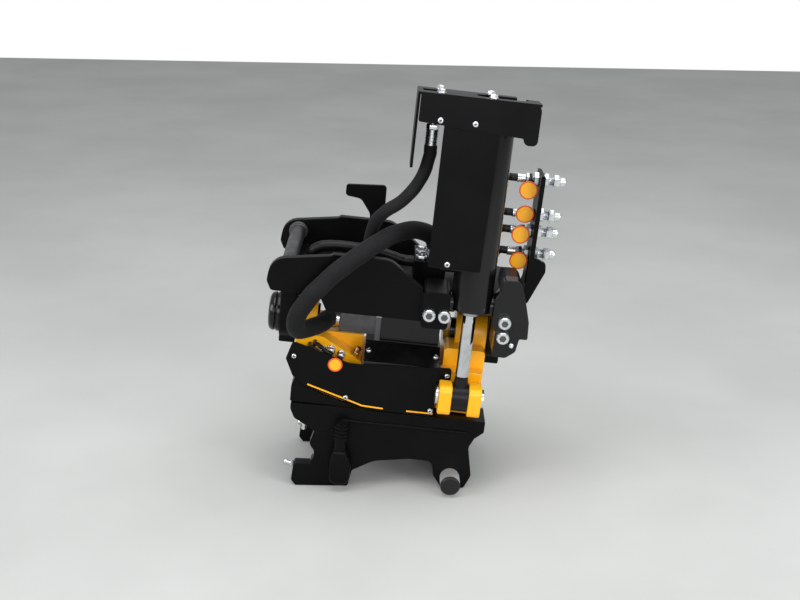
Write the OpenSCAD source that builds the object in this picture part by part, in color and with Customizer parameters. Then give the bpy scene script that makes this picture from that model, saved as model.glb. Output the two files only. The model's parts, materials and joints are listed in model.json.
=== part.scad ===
// Excavator tilt rotator standing on its lower hitch.
// Body frame: x along the tilt axis, y away from the cylinder side, z along the turning axis,
// with its zero where the tilt axis meets the turning axis.

/* [Stance] */
// Lean of the whole machine as it stands on the claw and the rear leg, in degrees
lean = 5.3; // [3:0.1:7]
// Height of the tilt axis over the floor, on the turning axis
axis_height = 312; // [306:1:320]

/* [Tilt pivot] */
// Diameter of the tilt axles
axle_d = 50; // [40:1:56]
// Wall of the tilt bushes
bush_wall = 5; // [3:0.5:6]
// Outer face of the front tilt lug
lug_front_x = 210; // [206:1:220]
// Outer face of the rear tilt lug
lug_rear_x = 176; // [170:1:178]
// Thickness of the tilt lugs
lug_t = 42; // [34:1:50]
// Outer diameter of the tilt lugs
lug_d = 96; // [86:1:100]
// Thickness of the hangers
hanger_t = 33; // [26:1:36]
// Diameter of the axle heads
axle_head_d = 80; // [70:1:90]
// Thickness of the axle heads
axle_head_t = 24; // [18:1:28]
// Largest tilt to each side, in degrees
tilt_max = 40; // [30:1:40]

/* [Upper frame] */
// Underside of the base plate over the tilt axis
base_z = 95; // [95:1:100]
// Thickness of the base plate
base_t = 15; // [10:1:18]
// Distance between the two side plates
plate_gap = 264; // [250:2:280]
// Thickness of the side plates
plate_t = 18; // [12:1:22]
// Diameter of the cross pin
cross_pin_d = 30; // [25:1:36]
// Thickness of the coupling bracket
bracket_t = 9; // [6:1:12]

/* [Tilt cylinder] */
// Place of the cylinder along the tilt axis
cyl_x = 128; // [126:1:130]
// Distance of the rod pin to the side of the tilt axis
pin_out = 150; // [148:1:156]
// Distance of the rod pin below the tilt axis
pin_drop = 86; // [82:1:90]
// Height of the trunnions over the tilt axis
trun_rise = 104; // [100:1:108]
// Outer diameter of the barrel
barrel_d = 80; // [76:1:84]
// Bore of the barrel
barrel_bore = 66; // [60:1:68]
// Diameter of the piston rod
rod_d = 26; // [20:1:32]
// Diameter of the trunnion pins
trun_d = 28; // [22:1:32]
// Diameter of the rod pin
rod_pin_d = 28; // [22:1:30]
// Width of the rod eye
eye_w = 32; // [28:1:36]
// Outer diameter of the rod eye
eye_d = 56; // [50:1:58]
// Thickness of the clevis ears
ear_t = 25; // [20:1:25]
// Top of the hood over the trunnions
hood_up = 398; // [380:1:420]
// Length of the hood
hood_l = 227; // [220:1:235]
// Depth of the hood
hood_w = 104; // [100:1:110]
// Sheet thickness of the hood
hood_t = 5; // [3:0.5:6]

/* [Rotor] */
// Tooth count of the worm wheel
wheel_teeth = 40; // [36:1:44]
// Pitch radius of the worm wheel
wheel_r = 88; // [84:1:90]
// Face width of the worm wheel
wheel_w = 40; // [30:1:44]
// Pitch radius of the worm
worm_r = 22; // [21:0.5:23]
// Radius of the housing drum
drum_r = 116; // [113:1:118]

/* [Lower hitch] */
// Width over the two hitch side plates
hitch_w = 236; // [226:2:244]
// Thickness of the hitch side plates
hitch_plate_t = 26; // [20:1:30]
// Diameter of the lock pins, and of the pin that the claw takes
lock_d = 40; // [36:1:44]
// Distance from the claw to the lock pins
pin_pitch = 300; // [296:1:306]
// Free length of each lock pin when it is out
lock_out = 46; // [40:1:50]

/* [Fits] */
// Radial clearance of turning and sliding fits
run_gap = 0.1; // [0.05:0.05:0.1]
// Clearance between faces that move past each other
side_gap = 0.5; // [0.4:0.1:1]
// Clearance between pieces that are fastened together
seat_gap = 0.1; // [0:0.05:0.2]

/* [Hidden] */
$fn = 48;

black = [0.06, 0.06, 0.07];
yellow = [0.95, 0.62, 0.05];
zinc = [0.75, 0.76, 0.78];
steel = [0.55, 0.56, 0.58];
bronze = [0.72, 0.5, 0.22];
rubber = [0.04, 0.04, 0.045];

// Places along the tilt axis
hanger_front_x = -lug_front_x - side_gap - hanger_t;
hanger_rear_x = lug_rear_x + side_gap;
frame_front_x = hanger_front_x;
bush_r = axle_d / 2 + bush_wall;
plate_in = plate_gap / 2;
plate_out = plate_in + plate_t;
base_top = base_z + base_t;

// Trunnion and rod pin lie equally far from the tilt axis, so both swing by half the tilt
trun_out = sqrt(pin_out * pin_out + pin_drop * pin_drop - trun_rise * trun_rise);
pivot_r = norm([pin_out, pin_drop]);
half_angle = (atan2(trun_rise, trun_out) + atan2(pin_drop, pin_out)) / 2;
cyl_tilt = atan2(pin_out - trun_out, trun_rise + pin_drop);
reach_max = 2 * pivot_r * sin(half_angle + tilt_max / 2);
barrel_r = barrel_d / 2;
barrel_down = 10;
gland_up = 38;
piston_t = 36;
head_t = 40;
barrel_up = hood_up - hood_t - head_t;
piston_at = reach_max + gland_up + piston_t / 2 + 5;
trun_gap = 2;
trun_len = 32;
arm_w = 52;
arm_in = barrel_r + trun_gap;
arm_drop = 48;
arm_rise = 26;
arm_near = -170;
notch_y = -80;
block_w = 62;
block_foot_x = 178;
screw_head_d = 24;
screw_head_t = 16;
hood_left = -148;
hood_right = hood_left + hood_l;
hood_near = -52;
flange_h = 54;
guard_t = 4;
guard_y = hood_near + hood_t + seat_gap;
head_near = guard_y + guard_t + seat_gap;
guard_left = -94;
guard_right = 11;
guard_low = 74;

// Rotor heights
housing_low = -146;
deck_top = -149;
tower_y = 88;
tower_far = 70;
wheel_z = -112;
worm_y = wheel_r + worm_r;
worm_pitch = 2 * PI * wheel_r / wheel_teeth;
worm_turns = 5;
tooth_h = 4;
hub_r = 62;
swivel_r = 34;
worm_case_r = 33;
worm_case_l = 110;
journal_r = 14;
cover_y = -122;
cover_t = 4;

// Lower hitch places; heights well under the deck follow the floor
deck_low = -175;
stance_height = 312;
leg_top = 71;
function low(z) = z + (stance_height - axis_height) * max(0, min(1, (deck_low - z) / leg_top));
nose_z = low(-206);
heel_z = low(-187);
lock_x = 133;
lock_z = low(-276);
claw_z = low(-257);
claw_x = lock_x - sqrt(pin_pitch * pin_pitch - (claw_z - lock_z) * (claw_z - lock_z));
claw_r = lock_d / 2 + 0.5;
hitch_y = hitch_w / 2;
hitch_in = hitch_y - hitch_plate_t;
lock_inner = 60;
aux_x = -95;
aux_z = low(-232);

// The floor as a height in the body frame
function floor_z(x) = (x * sin(lean) - axis_height) / cos(lean);

// Coupling bracket: an upright plate on a foot at the end of the base plate
bracket_foot_x = cyl_x + arm_in + block_w;
bracket_x = bracket_foot_x + 13;
bracket_y0 = -72;
bracket_y1 = 2;
bracket_mid = (bracket_y0 + bracket_y1) / 2;
bracket_top = 353;
coupling_z = [190, 234, 268, 338];
coupling_r = 9;
coupling_in = 51;
coupling_tip = 44;
tag_r = 18;
// Tag places beside each coupling, in x and z
tag_off = [[-28, -14], [-31, -5], [-28, 3], [-28, -19]];

// Hose routes in the body frame
hose_gap = 0.3;
valve_x0 = -122;
manifold_x0 = 14;
manifold_x1 = 76;
manifold_top = base_top + 46;
cylinder_hose_d = 25;
port_x = cyl_x - 112;
port_low = barrel_up - 58;
port_end = [
    port_x, -trun_out + 8 * cos(cyl_tilt) + port_low * sin(cyl_tilt),
    trun_rise - 8 * sin(cyl_tilt) + port_low * cos(cyl_tilt)
];
port_dir = [0, -sin(cyl_tilt), -cos(cyl_tilt)];
function drop_z(share) = base_top + share * (port_end.z - 20 - base_top);
cylinder_hose_path = [
    port_end + hose_gap * port_dir, port_end + 10 * port_dir, port_end + 20 * port_dir,
    [5, -120, drop_z(0.84)], [-22, -130, drop_z(0.69)], [-55, -126, drop_z(0.58)],
    [-72, -112, drop_z(0.48)],
    [-78, -100, drop_z(0.35)], [-78, -92, drop_z(0.22)], [-78, -90, base_top + 26],
    [-78, -90, base_top + 14],
    [-78, -90, base_top + hose_gap]
];
main_hose_d = 36;
main_hose_path = [
    [54, -32, manifold_top + hose_gap], [54, -32, manifold_top + 12], [53, -33, manifold_top + 24],
    [40, -46, 206],
    [8, -76, 222], [-30, -110, 220], [-66, -146, 206],
    [-104, -173, 180], [-136, -179, 151], [-158, -180, 126], [-178, -179, 100], [-198, -175, 64],
    [-204, -167, 36], [-198, -148, 18], [-178, -118, 13], [-156, -86, 14], [-149, -56, 12],
    [-145, -35, 9], [valve_x0 - 16, -24, 8], [valve_x0 - 8, -24, 8], [valve_x0 - hose_gap, -24, 8]
];
middle_hose_d = 22;
middle_hose_path = [
    [13.7, 0, 136], [2, 0, 136], [-12, 0, 137], [-60, 0, 148], [-120, 0, 152], [-162, 0, 150],
    [-184, 0, 142],
    [-194, 0, 128], [-195, 0, 119], [-195, 0, 110.3]
];
coupling_hose_d = 15;
grease_line_d = 8;

// Row place that puts the origin under the middle of the machine's box
coupling_far = [bracket_x + coupling_tip, max(coupling_z)];
head_out = side_gap + hanger_t + axle_head_t;
row_left = -(lug_front_x + head_out) * cos(lean) - (axle_head_d / 2 - 10) * sin(lean);
row_right = coupling_far.x * cos(lean) + (coupling_far.y + coupling_r) * sin(lean);
row_near = min([for (p = main_hose_path) p.y]) - main_hose_d / 2;
row_far = hitch_y + lock_out;
place_x = -(row_left + row_right) / 2;
place_y = -(row_near + row_far) / 2;

module stand() {
    translate([place_x, place_y, axis_height])
        rotate([0, lean, 0])
            children();
}

module at_trunnion() {
    stand()
        translate([cyl_x, -trun_out, trun_rise])
            rotate([-cyl_tilt, 0, 0])
                children();
}

module at_rod_pin() {
    stand()
        translate([cyl_x, -pin_out, -pin_drop])
            rotate([-cyl_tilt, 0, 0])
                children();
}

// Outline with rounded corners: each corner is [x, y, radius]
function unit2(v) = v / norm(v);
function corner_arc(a, b, c, r, n) =
    let(
        u = unit2(a - b),
        v = unit2(c - b),
        half = acos(max(-1, min(1, u * v))) / 2,
        middle = b + unit2(u + v) * r / sin(half),
        p = b + u * r / tan(half) - middle,
        q = b + v * r / tan(half) - middle,
        a0 = atan2(p.y, p.x),
        turn = atan2(q.y, q.x) - a0,
        sweep = turn > 180 ? turn - 360 : turn < -180 ? turn + 360 : turn
    )
    [for (i = [0:n]) middle + r * [cos(a0 + sweep * i / n), sin(a0 + sweep * i / n)]];
function rounded(pts, n = 5) =
    let(m = len(pts))
    [for (i = [0:m - 1])
        let(
            a = pts[(i + m - 1) % m],
            b = pts[i],
            c = pts[(i + 1) % m]
        )
        each b[2] > 0
            ? corner_arc([a.x, a.y], [b.x, b.y], [c.x, c.y], b[2], n)
            : [[b.x, b.y]]];

// Flat plate with its outline in x and z, between two y values
module plate_xz(pts, y0, y1) {
    translate([0, y1, 0])
        rotate([90, 0, 0])
            linear_extrude(y1 - y0)
                polygon(rounded(pts));
}

// Plate with its outline in y and z, between two x values
module plate_yz(pts, x0, x1) {
    translate([x0, 0, 0])
        rotate([90, 0, 90])
            linear_extrude(x1 - x0)
                polygon(rounded(pts));
}

module box(x0, x1, y0, y1, z0, z1) {
    translate([x0, y0, z0])
        cube([x1 - x0, y1 - y0, z1 - z0]);
}

module bar_x(r, x0, x1) {
    translate([x0, 0, 0])
        rotate([0, 90, 0])
            cylinder(r = r, h = x1 - x0);
}

module bar_y(r, y0, y1) {
    translate([0, y1, 0])
        rotate([90, 0, 0])
            cylinder(r = r, h = y1 - y0);
}

// Socket head cap screw, its head towards the near side
module cap_screw(d, t) {
    difference() {
        bar_y(d / 2, -t, 0);
        rotate([90, 0, 0])
            translate([0, 0, t / 2])
                cylinder(d = d * 0.56, h = t, $fn = 6);
    }
}

// Hose as one tube swept along its points
hose_sides = 10;
function path_dir(p, i) =
    let(a = p[max(0, i - 1)], b = p[min(len(p) - 1, i + 1)])
    (b - a) / norm(b - a);
function spline_point(p, i, t) =
    let(
        n = len(p) - 1,
        a = p[max(0, i - 1)],
        b = p[i],
        c = p[min(n, i + 1)],
        d = p[min(n, i + 2)]
    )
    0.5 * (2 * b + (c - a) * t + (2 * a - 5 * b + 4 * c - d) * t * t + (3 * b - a - 3 * c + d) * t * t * t);
function smooth(p, k) = concat(
    [for (i = [0:len(p) - 2], j = [0:k - 1]) spline_point(p, i, j / k)],
    [p[len(p) - 1]]
);
// Side directions carried along the path, so that the tube never twists
function carry(p, i, last) =
    let(t = path_dir(p, i), s = last - t * (last * t))
    s / norm(s);
function side_dirs(p, i = 0, last = [0.3, 0.5, 0.81]) =
    i >= len(p) ? [] : let(s = carry(p, i, last)) concat([s], side_dirs(p, i + 1, s));
module hose(points, d, k = 3) {
    path = smooth(points, k);
    sides = side_dirs(path);
    m = hose_sides;
    rings = [for (i = [0:len(path) - 1])
        let(t = path_dir(path, i), s = sides[i], w = cross(t, s))
        for (j = [0:m - 1]) path[i] + d / 2 * (s * cos(360 * j / m) + w * sin(360 * j / m))];
    last = len(path) - 1;
    walls = [for (i = [0:last - 1], j = [0:m - 1])
        let(a = i * m + j, b = i * m + (j + 1) % m)
        each [[a, a + m, b], [b, a + m, b + m]]];
    ends = [[for (j = [0:m - 1]) j], [for (j = [m - 1:-1:0]) last * m + j]];
    polyhedron(concat(rings), concat(walls, ends));
}

// Lower hitch

module hitch_deck() {
    color(black)
        stand()
            difference() {
                union() {
                    plate_xz([
                        [-202, deck_top, 0], [190, deck_top, 0], [190, -172, 6], [173, heel_z, 0],
                        [160, deck_low, 0],
                        [-100, deck_low, 0], [-124, nose_z, 0], [-149, nose_z, 10], [-193, low(-181), 12],
                        [-202, -162, 8]
                    ], -hitch_y, hitch_y);
                    box(-136, -100, -hitch_in, hitch_in, nose_z - 30, nose_z + 6);
                }
                translate([0, 0, deck_top - 30])
                    cylinder(r = swivel_r + seat_gap, h = 31);
            }
}

module hitch_plate() {
    difference() {
        plate_xz([
            [-100, deck_low - seat_gap, 0], [-124, nose_z - seat_gap, 0], [-150, nose_z - seat_gap, 4],
            [-157, low(-233), 4],
            [-152, low(-245), 0], [-152, low(-279), 0], [-186, low(-281), 6],
            [-188, floor_z(-188) + 12, 8],
            [-178, floor_z(-178), 4], [-72, floor_z(-72), 6], [-66, low(-284), 8], [-24, low(-258), 60],
            [48, low(-246), 40],
            [94, low(-246), 14], [99, low(-276), 16], [118, floor_z(118), 10], [164, floor_z(164), 6],
            [176, low(-270), 20],
            [163, low(-208), 20], [173, heel_z - seat_gap, 0], [160, deck_low - seat_gap, 0]
        ], hitch_in, hitch_y);
        translate([claw_x, 0, claw_z])
            bar_y(claw_r, hitch_in - 1, hitch_y + 1);
        box(claw_x - 40, claw_x, hitch_in - 1, hitch_y + 1, claw_z - claw_r, claw_z + claw_r);
        translate([lock_x, 0, lock_z])
            bar_y(lock_d / 2 + run_gap, hitch_in - 1, hitch_y + 1);
    }
}

module hitch_plate_far() {
    color(black)
        stand()
            hitch_plate();
}

module hitch_plate_near() {
    color(black)
        stand()
            mirror([0, 1, 0])
                hitch_plate();
}

module lock_cylinder() {
    color(black)
        stand()
            translate([lock_x, 0, lock_z])
                difference() {
                    union() {
                        bar_y(lock_d / 2 + 4, -hitch_in + seat_gap, hitch_in - seat_gap);
                        box(-14, 14, -22, 22, 20, deck_low - seat_gap - lock_z);
                    }
                    bar_y(lock_d / 2 + run_gap, -hitch_in - 1, hitch_in + 1);
                }
}

module lock_pin() {
    tip = hitch_y + lock_out;
    chamfer = 3;
    groove_in = hitch_y + 0.5;
    groove_out = hitch_y + 2.5;
    groove_r = lock_d / 2 - 0.8;
    translate([lock_x, 0, lock_z])
        rotate([-90, 0, 0])
            rotate_extrude()
                polygon([
                    [0, lock_inner], [lock_d / 2, lock_inner], [lock_d / 2, groove_in],
                    [groove_r, groove_in],
                    [groove_r, groove_out], [lock_d / 2, groove_out], [lock_d / 2, tip - chamfer],
                    [lock_d / 2 - chamfer, tip], [0, tip]
                ]);
}

module lock_pin_far() {
    color(steel)
        stand()
            lock_pin();
}

module lock_pin_near() {
    color(steel)
        stand()
            mirror([0, 1, 0])
                lock_pin();
}

module aux_ferrule() {
    ring_step = 8;
    length = 58;
    color(black)
        stand()
            translate([aux_x, -hitch_y - 16, aux_z])
                union() {
                    cylinder(r = 12.5, h = length);
                    for (i = [0:3])
                        translate([0, 0, 24 + i * ring_step])
                            cylinder(r = 15, h = ring_step / 2);
                    cylinder(r1 = 10, r2 = 12.5, h = 12);
                    box(-10, 10, 10, 16 - seat_gap, 20, length - 4);
                }
}

module aux_elbow() {
    bottom = low(-305);
    waist = low(-258);
    color(black)
        stand()
            plate_xz([
                [-112, bottom, 18], [-69, bottom, 18], [-69, waist, 16], [-82, aux_z - seat_gap, 6],
                [-108, aux_z - seat_gap, 6],
                [-113, waist, 10]
            ], -hitch_y - 32, -hitch_y - seat_gap);
}

module aux_fittings() {
    color(zinc)
        stand()
            for (y = [-58, -20])
                translate([-152, y, nose_z - 6])
                    union() {
                        translate([0, 0, -8])
                            cylinder(r = 9, h = 14 - seat_gap);
                        translate([0, 0, -2])
                            bar_x(7, -34, 0);
                        translate([-26, 0, -2])
                            rotate([0, 90, 0])
                                cylinder(r = 10, h = 10, $fn = 6);
                    }
}

// Rotor

module rotor_hub() {
    color(steel)
        stand()
            difference() {
                union() {
                    translate([0, 0, deck_top])
                        cylinder(r = hub_r, h = 64);
                    translate([0, 0, deck_top])
                        cylinder(r = wheel_r - tooth_h - 6, h = wheel_z - wheel_w / 2 - deck_top - seat_gap);
                }
                translate([0, 0, deck_top - 1])
                    cylinder(r = swivel_r + seat_gap, h = 70);
            }
}

module worm_wheel() {
    root = wheel_r - tooth_h - 1;
    tip = wheel_r + tooth_h - 0.5;
    half_pitch_w = 2.2;
    tooth = [
        [root - 2, -half_pitch_w - 1.4], [tip, -half_pitch_w + 1.2], [tip, half_pitch_w - 1.2],
        [root - 2, half_pitch_w + 1.4]
    ];
    color(bronze)
        stand()
            translate([0, 0, wheel_z - wheel_w / 2])
                linear_extrude(wheel_w)
                    difference() {
                        union() {
                            circle(r = root);
                            for (i = [0:wheel_teeth - 1])
                                rotate(90 + i * 360 / wheel_teeth)
                                    polygon(tooth);
                        }
                        circle(r = hub_r + seat_gap);
                    }
}

module swivel_shaft() {
    groove_step = 16;
    color(steel)
        stand()
            difference() {
                translate([0, 0, deck_top - 24])
                    cylinder(r = swivel_r, h = 24 - deck_top - 34);
                for (i = [0:2])
                    translate([0, 0, -78 + i * groove_step])
                        difference() {
                            cylinder(r = swivel_r + 1, h = 4);
                            cylinder(r = swivel_r - 3, h = 4);
                        }
            }
}

// Rotor housing

module gear_housing() {
    tower_front = [
        [-195, housing_low, 0], [-195, -88, 4], [-208, -8, 6], [-150, -14, 10], [-70, -58, 6],
        [-64, housing_low, 0]
    ];
    tower_rear = [
        [92, housing_low, 0], [92, -10, 8], [lug_rear_x - 2, -10, 8], [lug_rear_x - 2, housing_low, 10]
    ];
    hub_top = -22;
    color(yellow)
        stand()
            difference() {
                union() {
                    translate([0, 0, housing_low])
                        cylinder(r = drum_r, h = 76, $fn = 96);
                    translate([0, 0, housing_low])
                        cylinder(r = swivel_r + 30, h = hub_top - housing_low);
                    plate_xz(tower_front, -tower_y, tower_far);
                    box(-160, -70, -45, 45, -100, -16);
                    plate_xz(tower_rear, -tower_y, tower_far);
                    bar_x(lug_d / 2, -lug_front_x, -lug_front_x + lug_t);
                    bar_x(lug_d / 2, lug_rear_x - 1.5 * lug_t, lug_rear_x);
                    box(-lug_front_x + 2, -lug_front_x + lug_t, -lug_d / 2, lug_d / 2, -20, 0);
                    box(lug_rear_x - 1.5 * lug_t, lug_rear_x - 2, -lug_d / 2, lug_d / 2, -20, 0);
                    translate([0, worm_y, wheel_z])
                        bar_x(worm_case_r, -worm_case_l, worm_case_l);
                }
                translate([0, 0, housing_low - 1])
                    cylinder(r = wheel_r + tooth_h + 3, h = 64);
                translate([0, 0, housing_low])
                    cylinder(r = swivel_r + run_gap, h = 140);
                translate([0, worm_y, wheel_z]) {
                    bar_x(worm_r + tooth_h + 2, -worm_case_l + 22, worm_case_l + 1);
                    bar_x(journal_r + run_gap, -worm_case_l - 1, 0);
                }
                bar_x(axle_d / 2 + seat_gap, -lug_front_x - 1, -lug_front_x + lug_t + 40);
                bar_x(axle_d / 2 + seat_gap, lug_rear_x - 1.5 * lug_t - 40, lug_rear_x + 1);
            }
}

module rod_clevis() {
    pad_y = -118;
    pad_low = -130;
    pad_high = -46;
    ear_low = -118;
    ear_high = -58;
    relief_y = -131;
    relief_z = -77;
    ear_in = eye_w / 2 + side_gap;
    ear_out = ear_in + ear_t;
    ear = [
        [pad_y + 2, ear_low, 0], [pad_y + 2, relief_z, 0], [relief_y, relief_z, 3],
        [relief_y - 5, ear_high, 6], [-pin_out - 30, ear_high, 14], [-pin_out - 30, ear_low, 12]
    ];
    color(yellow)
        stand()
            difference() {
                union() {
                    box(cyl_x - ear_out, cyl_x + ear_out, pad_y, -tower_y - seat_gap, pad_low, pad_high);
                    for (s = [0, 1])
                        translate([cyl_x, 0, 0])
                            mirror([s, 0, 0])
                                plate_yz(ear, ear_in, ear_out);
                }
                translate([0, -pin_out, -pin_drop])
                    bar_x(rod_pin_d / 2 + seat_gap, cyl_x - ear_out - 1, cyl_x + ear_out + 1);
            }
}

module rod_pin() {
    reach_out = eye_w / 2 + side_gap + ear_t;
    head_r = rod_pin_d / 2 + 5;
    color(zinc)
        stand()
            translate([cyl_x, -pin_out, -pin_drop])
                union() {
                    bar_x(rod_pin_d / 2, -reach_out - 6, reach_out + 4);
                    bar_x(head_r, -reach_out - 6, -reach_out - seat_gap);
                    bar_x(head_r, reach_out + seat_gap, reach_out + 6);
                }
}

// Screw places of the side cover, in x and z; the first two stand on posts
cover_screw_xz = [[-203, -45], [-94, -122], [101, -54], [76, -132]];
post_r = 8;

module side_cover() {
    color(black)
        stand()
            difference() {
                union() {
                    plate_xz([
                        [-208, -15, 8], [-219, -52, 6], [-203, -87, 8], [-176, -106, 10],
                        [-49, -143, 20], [84, -144, 8], [84, -74, 5],
                        [108, -68, 4], [109, -38, 6], [-61, -50, 8], [-95, -49, 8]
                    ], cover_y - cover_t, cover_y);
                    for (i = [0, 1])
                        translate([cover_screw_xz[i].x, 0, cover_screw_xz[i].y])
                            bar_y(post_r, cover_y - 1, -tower_y - seat_gap);
                }
                for (p = cover_screw_xz)
                    translate([p.x, 0, p.y])
                        bar_y(3.2, cover_y - cover_t - 1, cover_y + 1);
            }
}

// Sloped top panel behind the side cover
panel_t = 5;
panel_low = -48;
panel_high = -16;
panel_flat = 72;
panel_edge = cover_y + 1;
panel_lean = atan2(panel_high - panel_low - panel_t, -panel_flat - panel_edge);
panel_x0 = -66;
panel_x1 = 84;
panel_screw_y = -96;

module top_cover() {
    color(black)
        stand()
            union() {
                plate_yz([
                    [panel_edge, panel_low, 0], [panel_edge, panel_low + panel_t, 0],
                    [-panel_flat, panel_high, 6], [panel_flat, panel_high, 6],
                    [-panel_edge, panel_low + panel_t, 0], [-panel_edge, panel_low, 0],
                    [panel_flat, panel_high - panel_t, 6], [-panel_flat, panel_high - panel_t, 6]
                ], panel_x0, panel_x1);
                box(panel_x0, panel_x1, panel_edge, panel_edge + 4, panel_low - 22, panel_low + 1);
            }
}

module front_skid() {
    low_z = housing_low + 1;
    cheek_near = -118;
    cheek_far = -112;
    color(black)
        stand()
            union() {
                plate_xz([
                    [-204, low_z, 3], [-204, -112, 6], [-198, -92, 1], [-195 - seat_gap, -92, 0],
                    [-195 - seat_gap, low_z, 0]
                ], cheek_near, tower_far);
                plate_xz([
                    [-204, low_z, 3], [-204, -112, 6], [-198, -94, 1], [-194, -97, 0], [-176, -112, 4],
                    [-70, low_z, 0]
                ], cheek_near, cheek_far);
            }
}

module worm_shaft() {
    lead_steps = 24;
    steps = lead_steps * worm_turns;
    root = worm_r - tooth_h - 0.5;
    tip = worm_r + tooth_h - 0.5;
    root_w = 3.6;
    tip_w = 1.2;
    section = [[root - 2, -root_w], [tip, -tip_w], [tip, tip_w], [root - 2, root_w]];
    rings = [for (i = [0:steps])
        let(a = 360 * i / lead_steps, x = worm_pitch * (i / lead_steps - worm_turns / 2))
        for (s = section) [x + s.y, -s.x * cos(a), -s.x * sin(a)]];
    walls = [for (i = [0:steps - 1], j = [0:3])
        let(a = i * 4 + j, b = i * 4 + (j + 1) % 4)
        each [[a, b, a + 4], [b, b + 4, a + 4]]];
    ends = [[3, 2, 1, 0], [for (j = [0:3]) steps * 4 + j]];
    color(steel)
        stand()
            translate([0, worm_y, wheel_z])
                union() {
                    bar_x(root, -worm_case_l + 26, worm_case_l - 30);
                    bar_x(journal_r, -worm_case_l + 4, worm_case_l - 2);
                    polyhedron(rings, concat(walls, ends));
                }
}

module slew_motor() {
    flange_x = worm_case_l + seat_gap;
    color(black)
        stand()
            translate([0, worm_y, wheel_z])
                union() {
                    bar_x(worm_case_r, flange_x, flange_x + 14);
                    bar_x(worm_case_r - 5, flange_x + 14, flange_x + 52);
                    bar_x(worm_case_r - 2, flange_x + 52, flange_x + 64);
                    box(flange_x + 18, flange_x + 48, -20, 20, 20, worm_case_r + 10);
                }
}

module worm_cap() {
    color(black)
        stand()
            translate([0, worm_y, wheel_z])
                bar_x(worm_case_r - 4, -worm_case_l - 10, -worm_case_l - seat_gap);
}

module valve_block() {
    bottom = -16 + seat_gap;
    top = 26;
    color(zinc)
        stand()
            difference() {
                box(valve_x0, valve_x0 + 73, -38, 38, bottom, top);
                for (y = [-26, 26])
                    translate([-85, y, top - 6])
                        cylinder(r = 6, h = 8);
            }
}

// Hood over the hose swivel, kept inside the circle that the tilting frame leaves free
module swivel_cover() {
    foot = panel_high + seat_gap;
    color(black)
        stand()
            plate_yz([
                [-60, foot, 0], [60, foot, 0], [60, 34, 10], [42, 70, 12], [-42, 70, 12], [-60, 34, 10]
            ], -38, 80);
}

module tilt_axle(length) {
    groove = 2;
    head_r = axle_head_d / 2;
    rotate_extrude()
        polygon([
            [0, -hanger_t - side_gap - axle_head_t], [head_r - 10, -hanger_t - side_gap - axle_head_t],
            [head_r - 3, -hanger_t - side_gap - axle_head_t + 3],
            [head_r, -hanger_t - side_gap - axle_head_t + 9],
            [head_r, -hanger_t - side_gap - 11], [head_r - groove, -hanger_t - side_gap - 10],
            [head_r - groove, -hanger_t - side_gap - 8], [head_r + 1, -hanger_t - side_gap - 7],
            [head_r + 1, -hanger_t - side_gap - side_gap], [axle_d / 2, -hanger_t - side_gap - side_gap],
            [axle_d / 2, length], [0, length]
        ]);
}

module tilt_axle_front() {
    color(black)
        stand()
            translate([-lug_front_x, 0, 0])
                rotate([0, 90, 0])
                    tilt_axle(lug_t + 4);
}

module tilt_axle_rear() {
    color(black)
        stand()
            translate([lug_rear_x, 0, 0])
                rotate([0, -90, 0])
                    tilt_axle(1.5 * lug_t + 10);
}

module cover_screws() {
    head_d = 11;
    head_t = 5;
    color(zinc)
        stand() {
            for (p = cover_screw_xz)
                translate([p.x, cover_y - cover_t - seat_gap, p.y])
                    cap_screw(head_d, head_t);
            for (x = [panel_x0 + 8, panel_x1 - 8])
                translate([x, panel_screw_y, panel_high - (-panel_flat - panel_screw_y) * tan(panel_lean)])
                    rotate([panel_lean - 90, 0, 0])
                        translate([0, -seat_gap, 0])
                            cap_screw(head_d, head_t);
        }
}

module housing_fittings() {
    color(zinc)
        stand()
            for (p = [[-132, -38], [-112, -46], [-150, -40]])
                translate([p.x, -tower_y - seat_gap, p.y])
                    union() {
                        bar_y(5, -18, 0);
                        rotate([90, 0, 0])
                            cylinder(r = 8, h = 10, $fn = 6);
                    }
}

module grease_lines() {
    start_y = -tower_y - 18 - hose_gap;
    end_y = -tower_y - hose_gap;
    color(rubber)
        stand()
            for (s = [0, 1])
                let(x = -132 - 18 * s, z = -38 - 2 * s, end_x = -166 - 10 * s, end_z = -24 - 6 * s)
                    hose([
                        [x, start_y, z], [x, start_y - 4, z], [x, start_y - 8, z],
                        [x - 10, start_y - 10, z + 6], [end_x + 8, start_y - 8, end_z + 3],
                        [end_x + 1, start_y, end_z + 1], [end_x, end_y - 8, end_z],
                        [end_x, end_y - 4, end_z],
                        [end_x, end_y, end_z]
                    ], grease_line_d, 2);
}

// Upper frame

module base_plate() {
    rear_x = cyl_x + arm_in + block_w;
    arm_x = cyl_x - arm_in - arm_w - seat_gap;
    in_y = plate_in - seat_gap;
    color(black)
        stand()
            difference() {
                translate([0, 0, base_z])
                    linear_extrude(base_t)
                        polygon(rounded([
                            [frame_front_x, -in_y, 6], [arm_x, -in_y, 0], [arm_x, notch_y + seat_gap, 0],
                            [rear_x, notch_y + seat_gap, 8], [rear_x, plate_in - 20, 20], [120, in_y, 10],
                            [frame_front_x, in_y, 6]
                        ]));
                for (y = [-40, 40])
                    translate([-90, y, base_z - 1])
                        cylinder(r = 22, h = base_t + 2);
            }
}

// Place of the cross pin, in x and z
cross_x = -230;
cross_z = 138;

// Side plate; its lower edge behind the hose hangs down by skirt
module side_plate(y0, y1, skirt) {
    end_x = cyl_x - arm_in - arm_w - seat_gap;
    edge = base_z - 2;
    plate_xz([
        [-258, edge, 8], [-267, 112, 12], [-262, 156, 34], [-150, 173, 6], [-144, 177, 4],
        [-34, 177, 40],
        [end_x, 126, 12], [end_x, edge - skirt, 0], [-148, edge - skirt, 8], [-164, edge, 8]
    ], y0, y1);
}

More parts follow.
